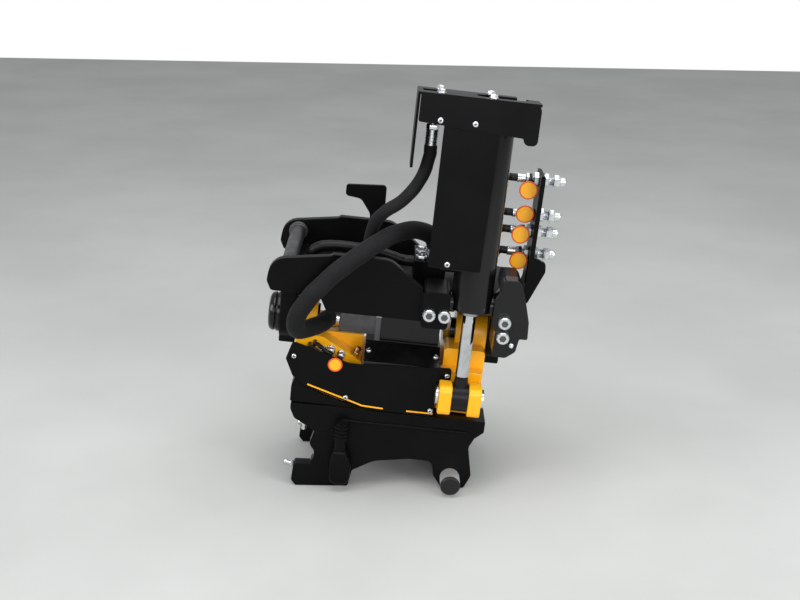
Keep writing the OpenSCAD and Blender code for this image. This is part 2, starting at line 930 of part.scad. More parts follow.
module side_plate_near() {
    color(black)
        stand()
            difference() {
                side_plate(-plate_out, -plate_in, 31);
                translate([cross_x, 0, cross_z])
                    bar_y(cross_pin_d / 2 + seat_gap, -plate_in - 8, -plate_in + 1);
            }
}

module side_plate_far() {
    color(black)
        stand()
            difference() {
                side_plate(plate_in, plate_out, 12);
                translate([cross_x, 0, cross_z])
                    bar_y(cross_pin_d / 2 + seat_gap, plate_in - 1, plate_in + 8);
            }
}

module cross_pin() {
    collar_r = cross_pin_d / 2 + 5;
    collar_t = 9;
    color(zinc)
        stand()
            translate([cross_x, 0, cross_z])
                union() {
                    bar_y(cross_pin_d / 2, -plate_in - 8 + seat_gap, plate_in + 8 - seat_gap);
                    bar_y(collar_r, plate_in - collar_t - seat_gap, plate_in - seat_gap);
                    bar_y(collar_r, -plate_in + seat_gap, -plate_in + collar_t + seat_gap);
                }
}

module hanger(x0) {
    ear_r = 50;
    top_half = 78;
    foot = 10;
    difference() {
        union() {
            bar_x(ear_r, x0, x0 + hanger_t);
            plate_yz([
                [-ear_r, 0, 0], [-top_half, base_z - seat_gap, 0], [top_half, base_z - seat_gap, 0],
                [ear_r, 0, 0]
            ], x0, x0 + hanger_t);
            plate_yz([
                [-24, -30, 0], [24, -30, 0], [18, -ear_r - foot, 6], [-18, -ear_r - foot, 6]
            ], x0, x0 + hanger_t);
        }
        bar_x(bush_r + seat_gap, x0 - 1, x0 + hanger_t + 1);
    }
}

module hanger_front() {
    color(black)
        stand()
            hanger(hanger_front_x);
}

module hanger_rear() {
    color(black)
        stand()
            hanger(hanger_rear_x);
}

module tilt_bush(x0) {
    difference() {
        bar_x(bush_r, x0, x0 + hanger_t);
        bar_x(axle_d / 2 + run_gap, x0 - 1, x0 + hanger_t + 1);
    }
}

module tilt_bush_front() {
    color(bronze)
        stand()
            tilt_bush(hanger_front_x);
}

module tilt_bush_rear() {
    color(bronze)
        stand()
            tilt_bush(hanger_rear_x);
}

// Trunnion seats, split at the trunnion axis into a rear half and a near cap

module trunnion_bore(x0, x1) {
    translate([0, -trun_out, trun_rise])
        bar_x(trun_d / 2 + run_gap, x0, x1);
}

module arm_shape(y0, y1) {
    x1 = cyl_x - arm_in;
    difference() {
        plate_xz([
            [x1 - arm_w, trun_rise - arm_drop, 8], [x1, trun_rise - arm_drop, 8],
            [x1, trun_rise + arm_rise, 10],
            [x1 - arm_w, trun_rise + arm_rise, 10]
        ], y0, y1);
        trunnion_bore(x1 - trun_len, x1 + 1);
    }
}

module block_shape(y0, y1) {
    x0 = cyl_x + arm_in;
    x1 = x0 + block_w;
    difference() {
        plate_xz([
            [x0, trun_rise - 22, 4], [block_foot_x, trun_rise - 40, 4], [block_foot_x, 12, 8],
            [x1 - 28, 12, 10], [x1 - 10, 26, 10],
            [x1 - 6, 53, 3], [x1 + 10, 53, 4], [x1 + 8, 88, 4], [x1 - 1, 121, 10], [x1 - 14, 160, 10],
            [x1 - 22, 169, 6],
            [x0 + 11, 168, 8], [x0 + 8, trun_rise + 40, 8], [x0, trun_rise + 26, 6]
        ], y0, y1);
        trunnion_bore(x0 - 1, x0 + trun_len);
    }
}

module trunnion_arm() {
    color(black)
        stand()
            arm_shape(-trun_out, notch_y);
}

module trunnion_arm_cap() {
    color(black)
        stand()
            arm_shape(arm_near, -trun_out - seat_gap);
}

module trunnion_block() {
    color(black)
        stand()
            block_shape(-trun_out, notch_y);
}

module trunnion_block_cap() {
    color(black)
        stand()
            block_shape(arm_near, -trun_out - seat_gap);
}

module cap_screws() {
    arm_x = cyl_x - arm_in - arm_w;
    block_x = cyl_x + arm_in + 23;
    high = trun_rise - 18;
    color(zinc)
        stand()
            for (p = [[arm_x + 14, high], [arm_x + 43, high], [block_x, high], [block_x, high - 30]])
                translate([p.x, arm_near - seat_gap, p.y])
                    cap_screw(screw_head_d, screw_head_t);
}

module coupling_bracket() {
    gusset_t = 10;
    foot_x = bracket_foot_x + seat_gap;
    color(black)
        stand()
            difference() {
                union() {
                    plate_xz([
                        [foot_x, base_z, 0], [bracket_x, base_z, 4], [bracket_x, bracket_top, 4],
                        [bracket_x - bracket_t, bracket_top, 2], [bracket_x - bracket_t, base_top + 22, 6],
                        [foot_x, base_top + 8, 0]
                    ], bracket_y0, bracket_y1);
                    plate_xz([
                        [foot_x, base_z, 0], [bracket_x - 1, base_z, 6], [bracket_x + 26, 163, 10],
                        [bracket_x + 24, 181, 8],
                        [bracket_x - 3, 191, 0], [bracket_x - 6, base_top + 30, 0], [foot_x, base_top + 4, 0]
                    ], bracket_y0, bracket_y0 + gusset_t);
                }
                for (z = coupling_z)
                    translate([bracket_x, bracket_mid, z])
                        bar_x(coupling_r + seat_gap, -bracket_t - 1, 1);
            }
}

module bulkhead_couplings() {
    hex_r = 14;
    color(zinc)
        stand()
            for (z = coupling_z)
                translate([bracket_x, bracket_mid, z])
                    union() {
                        bar_x(coupling_r, -coupling_in, coupling_tip);
                        for (hex = [
                            [seat_gap, 9, hex_r], [20, 12, 12.5], [-bracket_t - 10 - seat_gap, 10, hex_r]
                        ])
                            translate([hex[0], 0, 0])
                                rotate([0, 90, 0])
                                    cylinder(r = hex[2], h = hex[1], $fn = 6);
                    }
}

module port_tags() {
    strap_x = -26;
    tag_y = -17;
    color([0.95, 0.5, 0.08])
        stand()
            for (i = [0:3])
                translate([bracket_x, bracket_mid, coupling_z[i]])
                    union() {
                        translate([tag_off[i].x, tag_y, tag_off[i].y])
                            bar_y(tag_r, -2, 0);
                        box(strap_x - 3, strap_x + 3, tag_y - 1, -coupling_r - seat_gap, -4, 4);
                    }
}

module hose_guide() {
    color(black)
        stand()
            plate_xz([
                [-84, 128, 4], [-52, 128, 4], [-55, 256, 8], [-139, 250, 6], [-139, 226, 8],
                [-106, 222, 16], [-84, 192, 20]
            ], plate_in - 8, plate_in - seat_gap);
}

module hose_manifold() {
    color(black)
        stand()
            difference() {
                box(manifold_x0, manifold_x1, -62, 52, base_top + seat_gap, manifold_top);
                for (y = [-24, 28])
                    translate([62, y, manifold_top - 6])
                        cylinder(r = 7, h = 8);
            }
}

// Tilt cylinder

module barrel() {
    color(black)
        at_trunnion()
            difference() {
                union() {
                    translate([0, 0, -barrel_down])
                        cylinder(d = barrel_d, h = barrel_up + barrel_down);
                    bar_x(trun_d / 2, -arm_in - trun_len + 3, arm_in + trun_len - 3);
                    bar_x(trun_d / 2 + 5, -arm_in + 0.6, arm_in - 0.6);
                    box(-70, -20, head_near, -20, guard_low - 2, guard_low + 18);
                }
                translate([0, 0, -barrel_down - barrel_r])
                    cylinder(d = barrel_bore, h = barrel_up + barrel_down + barrel_r + 1);
            }
}

module gland() {
    color(steel)
        at_trunnion()
            difference() {
                union() {
                    translate([0, 0, -barrel_down])
                        cylinder(d = barrel_bore - 2 * seat_gap, h = barrel_down + gland_up);
                    translate([0, 0, -barrel_down - 10])
                        cylinder(d = 44, h = 12);
                }
                translate([0, 0, -barrel_down - 11])
                    cylinder(d = rod_d + 2 * run_gap, h = barrel_down + gland_up + 12);
            }
}

module barrel_head() {
    color(black)
        at_trunnion()
            translate([0, 0, barrel_up + seat_gap])
                difference() {
                    box(-126, 40, head_near, 42, 0, head_t - 2 * seat_gap);
                    translate([-112, 8, -1])
                        cylinder(r = 8, h = 24);
                }
}

module hood() {
    top = hood_up - hood_t;
    slot_r = 24;
    color(black)
        at_trunnion()
            difference() {
                union() {
                    translate([0, 0, top])
                        linear_extrude(hood_t)
                            polygon(rounded([
                                [hood_left, hood_near, 3], [hood_right, hood_near, 3],
                                [hood_right, hood_near + hood_w, 6], [hood_left, hood_near + hood_w, 6]
                            ]));
                    plate_xz([
                        [hood_left + 6, top - flange_h + hood_t, 4],
                        [hood_right - 26, top - flange_h - 6, 4],
                        [hood_right - 26, top - flange_h - 18, 10], [hood_right, top - flange_h - 18, 10],
                        [hood_right, hood_up, 14], [hood_left + 6, hood_up, 2]
                    ], hood_near, hood_near + hood_t);
                    plate_yz([
                        [hood_near + 8, top - 136, 4], [hood_near + hood_w - 40, top - 136, 4],
                        [hood_near + hood_w - 6, top - 60, 10], [hood_near + hood_w - 6, hood_up, 4],
                        [hood_near + 4, hood_up, 4]
                    ], hood_left, hood_left + hood_t);
                }
                for (x = [-15, 34])
                    translate([x, 0, top - 1])
                        cylinder(r = slot_r, h = hood_t + 2);
                box(-15, 34, -slot_r, slot_r, top - 1, hood_up + 1);
                box(hood_left + 10, hood_left + 38, -16, 18, top - 1, hood_up + 1);
                translate([hood_right - 40, 0, 0])
                    box(0, 60, 12, 60, top - 1, hood_up + 1);
            }
}

module guard_plate() {
    color(black)
        at_trunnion()
            plate_xz([
                [guard_left, guard_low, 3], [guard_right - 6, guard_low, 3],
                [guard_right, hood_up - hood_t - 2, 3],
                [guard_left, hood_up - hood_t - 2, 3]
            ], guard_y, guard_y + guard_t);
}

module hood_bolts() {
    color(zinc)
        at_trunnion() {
            for (x = [-105, -9], y = [-34, 34])
                translate([x, y, hood_up + seat_gap])
                    union() {
                        cylinder(r = 9, h = 2);
                        cylinder(r = 7.5, h = 7, $fn = 6);
                    }
            for (x = [-102, -38])
                translate([x, hood_near - seat_gap, hood_up - 48])
                    bar_y(6, -4, 0);
            translate([-58, guard_y - seat_gap, guard_low + 9])
                bar_y(6, -4, 0);
        }
}

module port_fitting() {
    color(zinc)
        at_trunnion()
            translate([-112, 8, barrel_up])
                union() {
                    translate([0, 0, -24])
                        cylinder(r = 13, h = 24, $fn = 6);
                    translate([0, 0, -58])
                        cylinder(r = 11.5, h = 36);
                }
}

module piston_rod() {
    neck_h = 40;
    color(zinc)
        at_rod_pin()
            difference() {
                union() {
                    bar_x(eye_d / 2, -eye_w / 2, eye_w / 2);
                    cylinder(d = rod_d, h = piston_at - piston_t / 2 + 10);
                    cylinder(d1 = rod_d + 10, d2 = rod_d, h = neck_h);
                }
                bar_x(rod_pin_d / 2 + run_gap, -eye_w, eye_w);
            }
}

module piston() {
    color(steel)
        at_rod_pin()
            translate([0, 0, piston_at - piston_t / 2])
                difference() {
                    cylinder(d = barrel_bore - 0.6, h = piston_t);
                    translate([0, 0, piston_t / 2 - 5])
                        difference() {
                            cylinder(d = barrel_bore + 1, h = 10);
                            cylinder(d = barrel_bore - 12, h = 10);
                        }
                    translate([0, 0, -1])
                        cylinder(d = rod_d + 2 * seat_gap, h = 11 + seat_gap);
                }
}

module piston_seal() {
    color(rubber)
        at_rod_pin()
            translate([0, 0, piston_at - 5 + seat_gap])
                difference() {
                    cylinder(d = barrel_bore - 0.6, h = 10 - 2 * seat_gap);
                    translate([0, 0, -1])
                        cylinder(d = barrel_bore - 12 + 2 * seat_gap, h = 12);
                }
}

// Hoses

module cylinder_hose() {
    color(rubber)
        stand()
            hose(cylinder_hose_path, cylinder_hose_d);
}

module main_hose() {
    color(rubber)
        stand()
            hose(main_hose_path, main_hose_d);
}

module middle_hose() {
    color(rubber)
        stand()
            hose(middle_hose_path, middle_hose_d);
}

module coupling_hoses() {
    port = manifold_x1 + hose_gap;
    end_x = bracket_x - coupling_in - hose_gap;
    lane = [-24, -6, 16, 38];
    color(rubber)
        stand()
            for (i = [0:3])
                let(
                    z = coupling_z[i],
                    side = lane[i] - bracket_mid,
                    port_y = -16 + 19 * i
                )
                    hose([
                        [end_x, bracket_mid, z], [end_x - 6, bracket_mid, z], [end_x - 12, bracket_mid, z],
                        [end_x - 18, bracket_mid + 0.35 * side, z - 5],
                        [end_x - 22, bracket_mid + 0.75 * side, z - 18],
                        [end_x - 30, lane[i], z - 42], [end_x - 44, lane[i], 67 + 0.45 * z],
                        [port + 26, port_y, 136],
                        [port + 12, port_y, 134], [port, port_y, 134]
                    ], coupling_hose_d, 2);
}

hitch_deck();
hitch_plate_near();
hitch_plate_far();
lock_cylinder();
lock_pin_near();
lock_pin_far();
rotor_hub();
worm_wheel();
swivel_shaft();
aux_ferrule();
aux_elbow();
aux_fittings();
gear_housing();
rod_clevis();
rod_pin();
side_cover();
top_cover();
front_skid();
worm_shaft();
slew_motor();
worm_cap();
valve_block();
swivel_cover();
tilt_axle_front();
tilt_axle_rear();
cover_screws();
housing_fittings();
grease_lines();
base_plate();
side_plate_near();
side_plate_far();
cross_pin();
hanger_front();
hanger_rear();
tilt_bush_front();
tilt_bush_rear();
trunnion_arm();
trunnion_arm_cap();
trunnion_block();
trunnion_block_cap();
cap_screws();
coupling_bracket();
bulkhead_couplings();
port_tags();
hose_guide();
hose_manifold();
barrel();
gland();
barrel_head();
hood();
guard_plate();
hood_bolts();
port_fitting();
piston_rod();
piston();
piston_seal();
cylinder_hose();
main_hose();
middle_hose();
coupling_hoses();
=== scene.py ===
"""Looks of the excavator tilt rotator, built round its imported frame."""
import json
import math

import bmesh
import bpy
from mathutils import Matrix, Vector


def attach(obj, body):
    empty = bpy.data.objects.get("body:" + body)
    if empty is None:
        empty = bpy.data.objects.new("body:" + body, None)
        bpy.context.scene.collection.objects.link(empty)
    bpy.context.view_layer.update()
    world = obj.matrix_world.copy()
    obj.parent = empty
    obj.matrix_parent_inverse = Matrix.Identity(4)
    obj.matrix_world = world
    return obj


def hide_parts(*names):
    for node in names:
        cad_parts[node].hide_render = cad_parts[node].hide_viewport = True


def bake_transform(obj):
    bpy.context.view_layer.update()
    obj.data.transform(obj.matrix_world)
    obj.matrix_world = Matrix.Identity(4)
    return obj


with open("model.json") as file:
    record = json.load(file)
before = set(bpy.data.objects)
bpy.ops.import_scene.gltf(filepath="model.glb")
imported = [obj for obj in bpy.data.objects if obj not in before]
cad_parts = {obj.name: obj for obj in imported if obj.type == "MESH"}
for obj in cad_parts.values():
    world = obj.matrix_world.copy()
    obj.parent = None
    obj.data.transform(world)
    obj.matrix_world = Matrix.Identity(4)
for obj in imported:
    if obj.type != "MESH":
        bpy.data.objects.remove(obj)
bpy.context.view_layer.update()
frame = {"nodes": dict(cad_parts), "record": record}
nodes = frame["nodes"]

# Places of the part's source, in millimetres in its body frame
MM = 0.001
JOINTS = {joint["name"]: joint for joint in frame["record"]["behaviour"]["joints"]}
PLACE = [value / MM for value in JOINTS["tilt"]["pos_m"]]
LEAN = 5.3
CYL_X = 128.0
PIN_OUT = 150.0
PIN_DROP = 86.0
TRUN_RISE = 104.0
TRUN_OUT = math.sqrt(PIN_OUT ** 2 + PIN_DROP ** 2 - TRUN_RISE ** 2)
CYL_TILT = math.degrees(math.atan2(PIN_OUT - TRUN_OUT, TRUN_RISE + PIN_DROP))
BARREL_UP = 353.0
HOOD_UP = 398.0
HOOD_NEAR = -52.0
GUARD_NEAR = -46.9
GUARD_LOW = 74.0
BASE_TOP = 110.0
MANIFOLD_TOP = 156.0
MANIFOLD_X1 = 76.0
MANIFOLD_PORT_Z = 134.0
MAIN_HOSE_XY = (54, -32)
CYLINDER_HOSE_XY = (-78, -90)
CYLINDER_PORT_XY = (-112, 8)
PORT_FITTING_LONG = 58.0
VALVE_X0 = -122.0
VALVE_TOP = 26.0
VALVE_PORT_YZ = (-24, 8)
BRACKET_X = 245.0
BRACKET_MID = -35.0
COUPLING_Z = (190.0, 234.0, 268.0, 338.0)
COUPLING_IN = 51.0
COUPLING_TIP = 44.0
TAG_OFF = ((-28, -14), (-31, -5), (-28, 3), (-28, -19))
COVER_FACE = -126.0
TOWER_Y = -88.0
FITTING_LONG = 18.0
FITTING_XZ = ((-132, -38), (-112, -46), (-150, -40))
ARM_NEAR = -170.0
HITCH_Y = 118.0
DECK_WELD_X = (-96, 156)
DECK_WELD_Z = -175.5
# Gap at a hose's end, gap under a screw head and gap behind a thin mark
HOSE_GAP = 0.3
SEAT = 0.1
MARK_GAP = 0.05


def turn(angle, axis):
    return Matrix.Rotation(math.radians(angle), 4, axis)


STAND = Matrix.Translation(PLACE) @ turn(LEAN, "Y")
TRUNNION = STAND @ Matrix.Translation((CYL_X, -TRUN_OUT, TRUN_RISE)) @ turn(-CYL_TILT, "X")
ROD_PIN = STAND @ Matrix.Translation((CYL_X, -PIN_OUT, -PIN_DROP)) @ turn(-CYL_TILT, "X")
METRES = Matrix.Scale(MM, 4)
# Local z of a lathed piece turned to these directions
TO_NEAR = turn(90, "X")
TO_RIGHT = turn(90, "Y")
TO_LEFT = turn(-90, "Y")
DOWN = turn(180, "X")


def spot(x, y, z):
    return Matrix.Translation((x, y, z))


def row_point(place, point):
    """Point of a place's own frame, in metres in the frame of the whole part."""
    return METRES @ (place @ Vector(point))


# Node groups shared by the finishes


def new_group(name, inputs, outputs):
    tree = bpy.data.node_groups.new(name, "ShaderNodeTree")
    for label, kind, value in inputs:
        socket = tree.interface.new_socket(label, in_out="INPUT", socket_type=kind)
        socket.default_value = value
    for label, kind in outputs:
        tree.interface.new_socket(label, in_out="OUTPUT", socket_type=kind)
    return tree, tree.nodes.new("NodeGroupInput"), tree.nodes.new("NodeGroupOutput")


def add(tree, kind, settings=None, **values):
    """New node with its settings and the values of its inputs."""
    node = tree.nodes.new(kind)
    for key, value in (settings or {}).items():
        setattr(node, key, value)
    for key, value in values.items():
        node.inputs[key].default_value = value
    return node


def math_node(tree, operation, a, b=None, clamp=False):
    """Sum, product and so on of two numbers or sockets."""
    node = add(tree, "ShaderNodeMath", {"operation": operation, "use_clamp": clamp})
    for i, value in enumerate((a, b)):
        if value is None:
            continue
        if isinstance(value, (int, float)):
            node.inputs[i].default_value = value
        else:
            tree.links.new(value, node.inputs[i])
    return node.outputs[0]


def ramp(tree, value, low, high):
    """Smooth step from 0 at low to 1 at high."""
    node = add(tree, "ShaderNodeMapRange", {"interpolation_type": "SMOOTHSTEP"})
    tree.links.new(value, node.inputs["Value"])
    node.inputs["From Min"].default_value = low
    node.inputs["From Max"].default_value = high
    return node.outputs["Result"]


def noise(tree, scale, detail=3.0, rough=0.5, stretch=None):
    node = add(tree, "ShaderNodeTexNoise", Scale=scale, Detail=detail, Roughness=rough)
    coords = add(tree, "ShaderNodeTexCoord").outputs["Object"]
    if stretch:
        mapping = add(tree, "ShaderNodeMapping", Scale=stretch)
        tree.links.new(coords, mapping.inputs["Vector"])
        coords = mapping.outputs["Vector"]
    tree.links.new(coords, node.inputs["Vector"])
    return node.outputs["Fac"]


def mix_colour(tree, mask, a, b):
    node = add(tree, "ShaderNodeMix", {"data_type": "RGBA"})
    tree.links.new(mask, node.inputs["Factor"])
    for key, value in (("A", a), ("B", b)):
        socket = [s for s in node.inputs if s.name == key and s.type == "RGBA"][0]
        if isinstance(value, (tuple, list)):
            socket.default_value = (*value, 1.0)
        else:
            tree.links.new(value, socket)
    return [s for s in node.outputs if s.type == "RGBA"][0]


def edge_wear_and_highlight_group():
    """Mask that is 1 on edges, broken up by noise: rubbed wear on the yellow paint and a painted highlight on
    the black paint.
    """
    tree, given, out = new_group(
        "EdgeWearAndHighlight", [("Width", "NodeSocketFloat", 0.0015), ("Amount", "NodeSocketFloat", 0.5)],
        [("Mask", "NodeSocketFloat")])
    soft = add(tree, "ShaderNodeBevel", {"samples": 4})
    tree.links.new(given.outputs["Width"], soft.inputs["Radius"])
    facing = add(tree, "ShaderNodeVectorMath", {"operation": "DOT_PRODUCT"})
    tree.links.new(soft.outputs[0], facing.inputs[0])
    tree.links.new(add(tree, "ShaderNodeNewGeometry").outputs["Normal"], facing.inputs[1])
    edge = ramp(tree, math_node(tree, "SUBTRACT", 1.0, facing.outputs["Value"]), 0.02, 0.14)
    broken = ramp(tree, noise(tree, 90.0, 5.0, 0.65), 0.42, 0.62)
    rubbed = math_node(tree, "MULTIPLY", edge, broken)
    tree.links.new(math_node(tree, "MULTIPLY", rubbed, given.outputs["Amount"]), out.inputs["Mask"])
    return tree


def dust_group():
    """Mask of the dust that lies on faces looking up."""
    tree, given, out = new_group("Dust", [("Amount", "NodeSocketFloat", 0.3)], [("Mask", "NodeSocketFloat")])
    normal = add(tree, "ShaderNodeSeparateXYZ")
    tree.links.new(add(tree, "ShaderNodeNewGeometry").outputs["Normal"], normal.inputs[0])
    up = ramp(tree, normal.outputs["Z"], 0.3, 1.0)
    cloud = ramp(tree, noise(tree, 14.0, 6.0, 0.6), 0.35, 0.75)
    lying = math_node(tree, "MULTIPLY", up, cloud)
    tree.links.new(math_node(tree, "MULTIPLY", lying, given.outputs["Amount"]), out.inputs["Mask"])
    return tree


def paint_skin_group():
    """Orange peel height and the patchy gloss of sprayed paint."""
    tree, given, out = new_group(
        "PaintSkin", [("Rough", "NodeSocketFloat", 0.3), ("Patches", "NodeSocketFloat", 0.1)],
        [("Height", "NodeSocketFloat"), ("Roughness", "NodeSocketFloat"), ("Shade", "NodeSocketFloat")])
    peel = noise(tree, 420.0, 2.0, 0.5)
    wide = noise(tree, 9.0, 4.0, 0.6)
    tree.links.new(math_node(tree, "ADD", peel, math_node(tree, "MULTIPLY", wide, 0.6)), out.inputs["Height"])
    swing = math_node(tree, "MULTIPLY", math_node(tree, "SUBTRACT", wide, 0.5), given.outputs["Patches"])
    tree.links.new(math_node(tree, "ADD", given.outputs["Rough"], swing, True), out.inputs["Roughness"])
    tree.links.new(ramp(tree, wide, 0.3, 0.7), out.inputs["Shade"])
    return tree


def metal_grain_group():
    """Fine turning lines, stains and height of bare metal."""
    tree, given, out = new_group(
        "MetalGrain", [("Rough", "NodeSocketFloat", 0.3)],
        [("Height", "NodeSocketFloat"), ("Roughness", "NodeSocketFloat"), ("Stain", "NodeSocketFloat")])
    lines = noise(tree, 60.0, 3.0, 0.5, (1.0, 1.0, 14.0))
    stain = noise(tree, 45.0, 5.0, 0.65)
    tree.links.new(lines, out.inputs["Height"])
    swing = math_node(tree, "MULTIPLY", math_node(tree, "SUBTRACT", stain, 0.5), 0.45)
    tree.links.new(math_node(tree, "ADD", given.outputs["Rough"], swing, True), out.inputs["Roughness"])
    tree.links.new(ramp(tree, stain, 0.45, 0.75), out.inputs["Stain"])
    return tree


EDGE_WEAR_AND_HIGHLIGHT = edge_wear_and_highlight_group()
DUST = dust_group()
PAINT_SKIN = paint_skin_group()
METAL_GRAIN = metal_grain_group()


def place_group(tree, group, **values):
    node = tree.nodes.new("ShaderNodeGroup")
    node.node_tree = group
    for key, value in values.items():
        node.inputs[key].default_value = value
    return node.outputs


def new_finish(name):
    material = bpy.data.materials.new(name)
    material.use_nodes = True
    return material, material.node_tree, material.node_tree.nodes["Principled BSDF"]


def bump(tree, shader, height, strength, distance):
    node = add(tree, "ShaderNodeBump", Strength=strength, Distance=distance)
    tree.links.new(height, node.inputs["Height"])
    tree.links.new(node.outputs["Normal"], shader.inputs["Normal"])


def paint(name, dark, light, rough, shine, coat, worn, edge_wear_and_highlight=0.35, dust=0.02, peel=0.08):
    """Sprayed paint with orange peel, a second colour on the edges and a little dust; on black paint the
    lighter edges are a painted highlight, on yellow paint they are rubbed wear.
    """
    material, tree, shader = new_finish(name)
    skin = place_group(tree, PAINT_SKIN, Rough=rough, Patches=0.16)
    edge = place_group(tree, EDGE_WEAR_AND_HIGHLIGHT, Width=0.0014, Amount=edge_wear_and_highlight)["Mask"]
    lying = place_group(tree, DUST, Amount=dust)["Mask"]
    colour = mix_colour(tree, skin["Shade"], dark, light)
    # Edge colour: a painted highlight on the black paints, rubbed wear on the yellow paint
    colour = mix_colour(tree, edge, colour, worn)
    colour = mix_colour(tree, lying, colour, (0.3, 0.29, 0.27))
    tree.links.new(colour, shader.inputs["Base Color"])
    tree.links.new(math_node(tree, "ADD", skin["Roughness"], math_node(tree, "MULTIPLY", lying, 0.5), True),
                   shader.inputs["Roughness"])
    shader.inputs["Specular IOR Level"].default_value = shine
    shader.inputs["Coat Weight"].default_value = coat
    shader.inputs["Coat Roughness"].default_value = 0.1
    bump(tree, shader, skin["Height"], peel, 0.0006)
    return material


def along_axis(tree, origin, axis):
    """Distance in metres from a point along a direction of the row frame, on a piece at rest."""
    offset = add(tree, "ShaderNodeVectorMath", {"operation": "SUBTRACT"})
    tree.links.new(add(tree, "ShaderNodeTexCoord").outputs["Object"], offset.inputs[0])
    offset.inputs[1].default_value = origin
    reach = add(tree, "ShaderNodeVectorMath", {"operation": "DOT_PRODUCT"})
    tree.links.new(offset.outputs["Vector"], reach.inputs[0])
    reach.inputs[1].default_value = axis
    return reach.outputs["Value"]


def two_part_metal(name, masks, bright, dark, rough_bright, rough_dark):
    """Metal that is bare where the mask is 1 and dark elsewhere, a blackened eye on the rod and painted shade
    on the lock pins' ends; masks gives the mask from the tree.
    """
    material, tree, shader = new_finish(name)
    bare = masks(tree)
    skin = place_group(tree, METAL_GRAIN, Rough=0.0)
    stained = mix_colour(tree, skin["Stain"], bright, tuple(value * 0.7 for value in bright))
    tree.links.new(mix_colour(tree, bare, dark, stained), shader.inputs["Base Color"])
    base = math_node(tree, "ADD", math_node(tree, "MULTIPLY", bare, rough_bright - rough_dark), rough_dark)
    tree.links.new(math_node(tree, "ADD", base, math_node(tree, "MULTIPLY", skin["Roughness"], 0.5), True),
                   shader.inputs["Roughness"])
    tree.links.new(bare, shader.inputs["Metallic"])
    shader.inputs["Specular IOR Level"].default_value = 0.25
    bump(tree, shader, skin["Height"], 0.05, 0.0004)
    return material


def metal(name, clean, stained, rough, stain=0.6, grain=0.12):
    """Bare or plated metal with fine lines and stains."""
    material, tree, shader = new_finish(name)
    skin = place_group(tree, METAL_GRAIN, Rough=rough)
    mask = math_node(tree, "MULTIPLY", skin["Stain"], stain)
    tree.links.new(mix_colour(tree, mask, clean, stained), shader.inputs["Base Color"])
    tree.links.new(skin["Roughness"], shader.inputs["Roughness"])
    shader.inputs["Metallic"].default_value = 1.0
    bump(tree, shader, skin["Height"], grain, 0.0004)
    return material


def rubber_finish(name, dark, light, rough):
    """Smooth hose cover, rubbed paler in streaks."""
    material, tree, shader = new_finish(name)
    streaks = ramp(tree, noise(tree, 30.0, 5.0, 0.6), 0.4, 0.8)
    lying = place_group(tree, DUST, Amount=0.04)["Mask"]
    colour = mix_colour(tree, streaks, dark, light)
    tree.links.new(mix_colour(tree, lying, colour, (0.2, 0.19, 0.18)), shader.inputs["Base Color"])
    rubbed = math_node(tree, "MULTIPLY", streaks, 0.15)
    tree.links.new(math_node(tree, "ADD", rubbed, rough), shader.inputs["Roughness"])
    shader.inputs["Specular IOR Level"].default_value = 0.25
    bump(tree, shader, noise(tree, 260.0, 3.0, 0.6), 0.12, 0.0006)
    return material


STRANDS_ROUND = 26.0
STRANDS_PER_METRE = 230.0


def sleeve_finish(name):
    """Woven hose sleeve: diagonal braid from the tube's own coordinates."""
    material, tree, shader = new_finish(name)
    uv = add(tree, "ShaderNodeUVMap", {"uv_map": "Tube"}).outputs["UV"]
    waves = []
    for slope in (1.0, -1.0):
        shear = add(tree, "ShaderNodeSeparateXYZ")
        tree.links.new(uv, shear.inputs[0])
        lane = math_node(tree, "ADD", math_node(tree, "MULTIPLY", shear.outputs["X"], STRANDS_ROUND * slope),
                         math_node(tree, "MULTIPLY", shear.outputs["Y"], STRANDS_PER_METRE))
        wave = math_node(tree, "SINE", math_node(tree, "MULTIPLY", lane, math.pi))
        waves.append(math_node(tree, "ABSOLUTE", wave))
    weave = math_node(tree, "MULTIPLY", waves[0], waves[1])
    fuzz = noise(tree, 350.0, 4.0, 0.7)
    worn = ramp(tree, noise(tree, 12.0, 5.0, 0.6), 0.4, 0.75)
    colour = mix_colour(tree, weave, (0.0022, 0.0022, 0.0026), (0.0095, 0.0095, 0.0105))
    colour = mix_colour(tree, math_node(tree, "MULTIPLY", worn, 0.5), colour, (0.013, 0.0135, 0.015))
    tree.links.new(colour, shader.inputs["Base Color"])
    fuzzy = math_node(tree, "MULTIPLY", fuzz, 0.2)
    tree.links.new(math_node(tree, "ADD", fuzzy, 0.62), shader.inputs["Roughness"])
    shader.inputs["Specular IOR Level"].default_value = 0.22
    shader.inputs["Sheen Weight"].default_value = 0.03
    shader.inputs["Sheen Roughness"].default_value = 0.4
    bump(tree, shader, math_node(tree, "ADD", weave, math_node(tree, "MULTIPLY", fuzz, 0.5)), 0.5, 0.0007)
    return material


def tag_finish(name, colour, shade):
    """Glossy moulded plastic with faint flow marks in a second shade."""
    material, tree, shader = new_finish(name)
    flow = ramp(tree, noise(tree, 60.0, 4.0, 0.5), 0.35, 0.75)
    tree.links.new(mix_colour(tree, flow, colour, shade), shader.inputs["Base Color"])
    marks = math_node(tree, "MULTIPLY", flow, 0.12)
    tree.links.new(math_node(tree, "ADD", marks, 0.28), shader.inputs["Roughness"])
    bump(tree, shader, noise(tree, 300.0, 2.0, 0.5), 0.06, 0.0004)
    return material
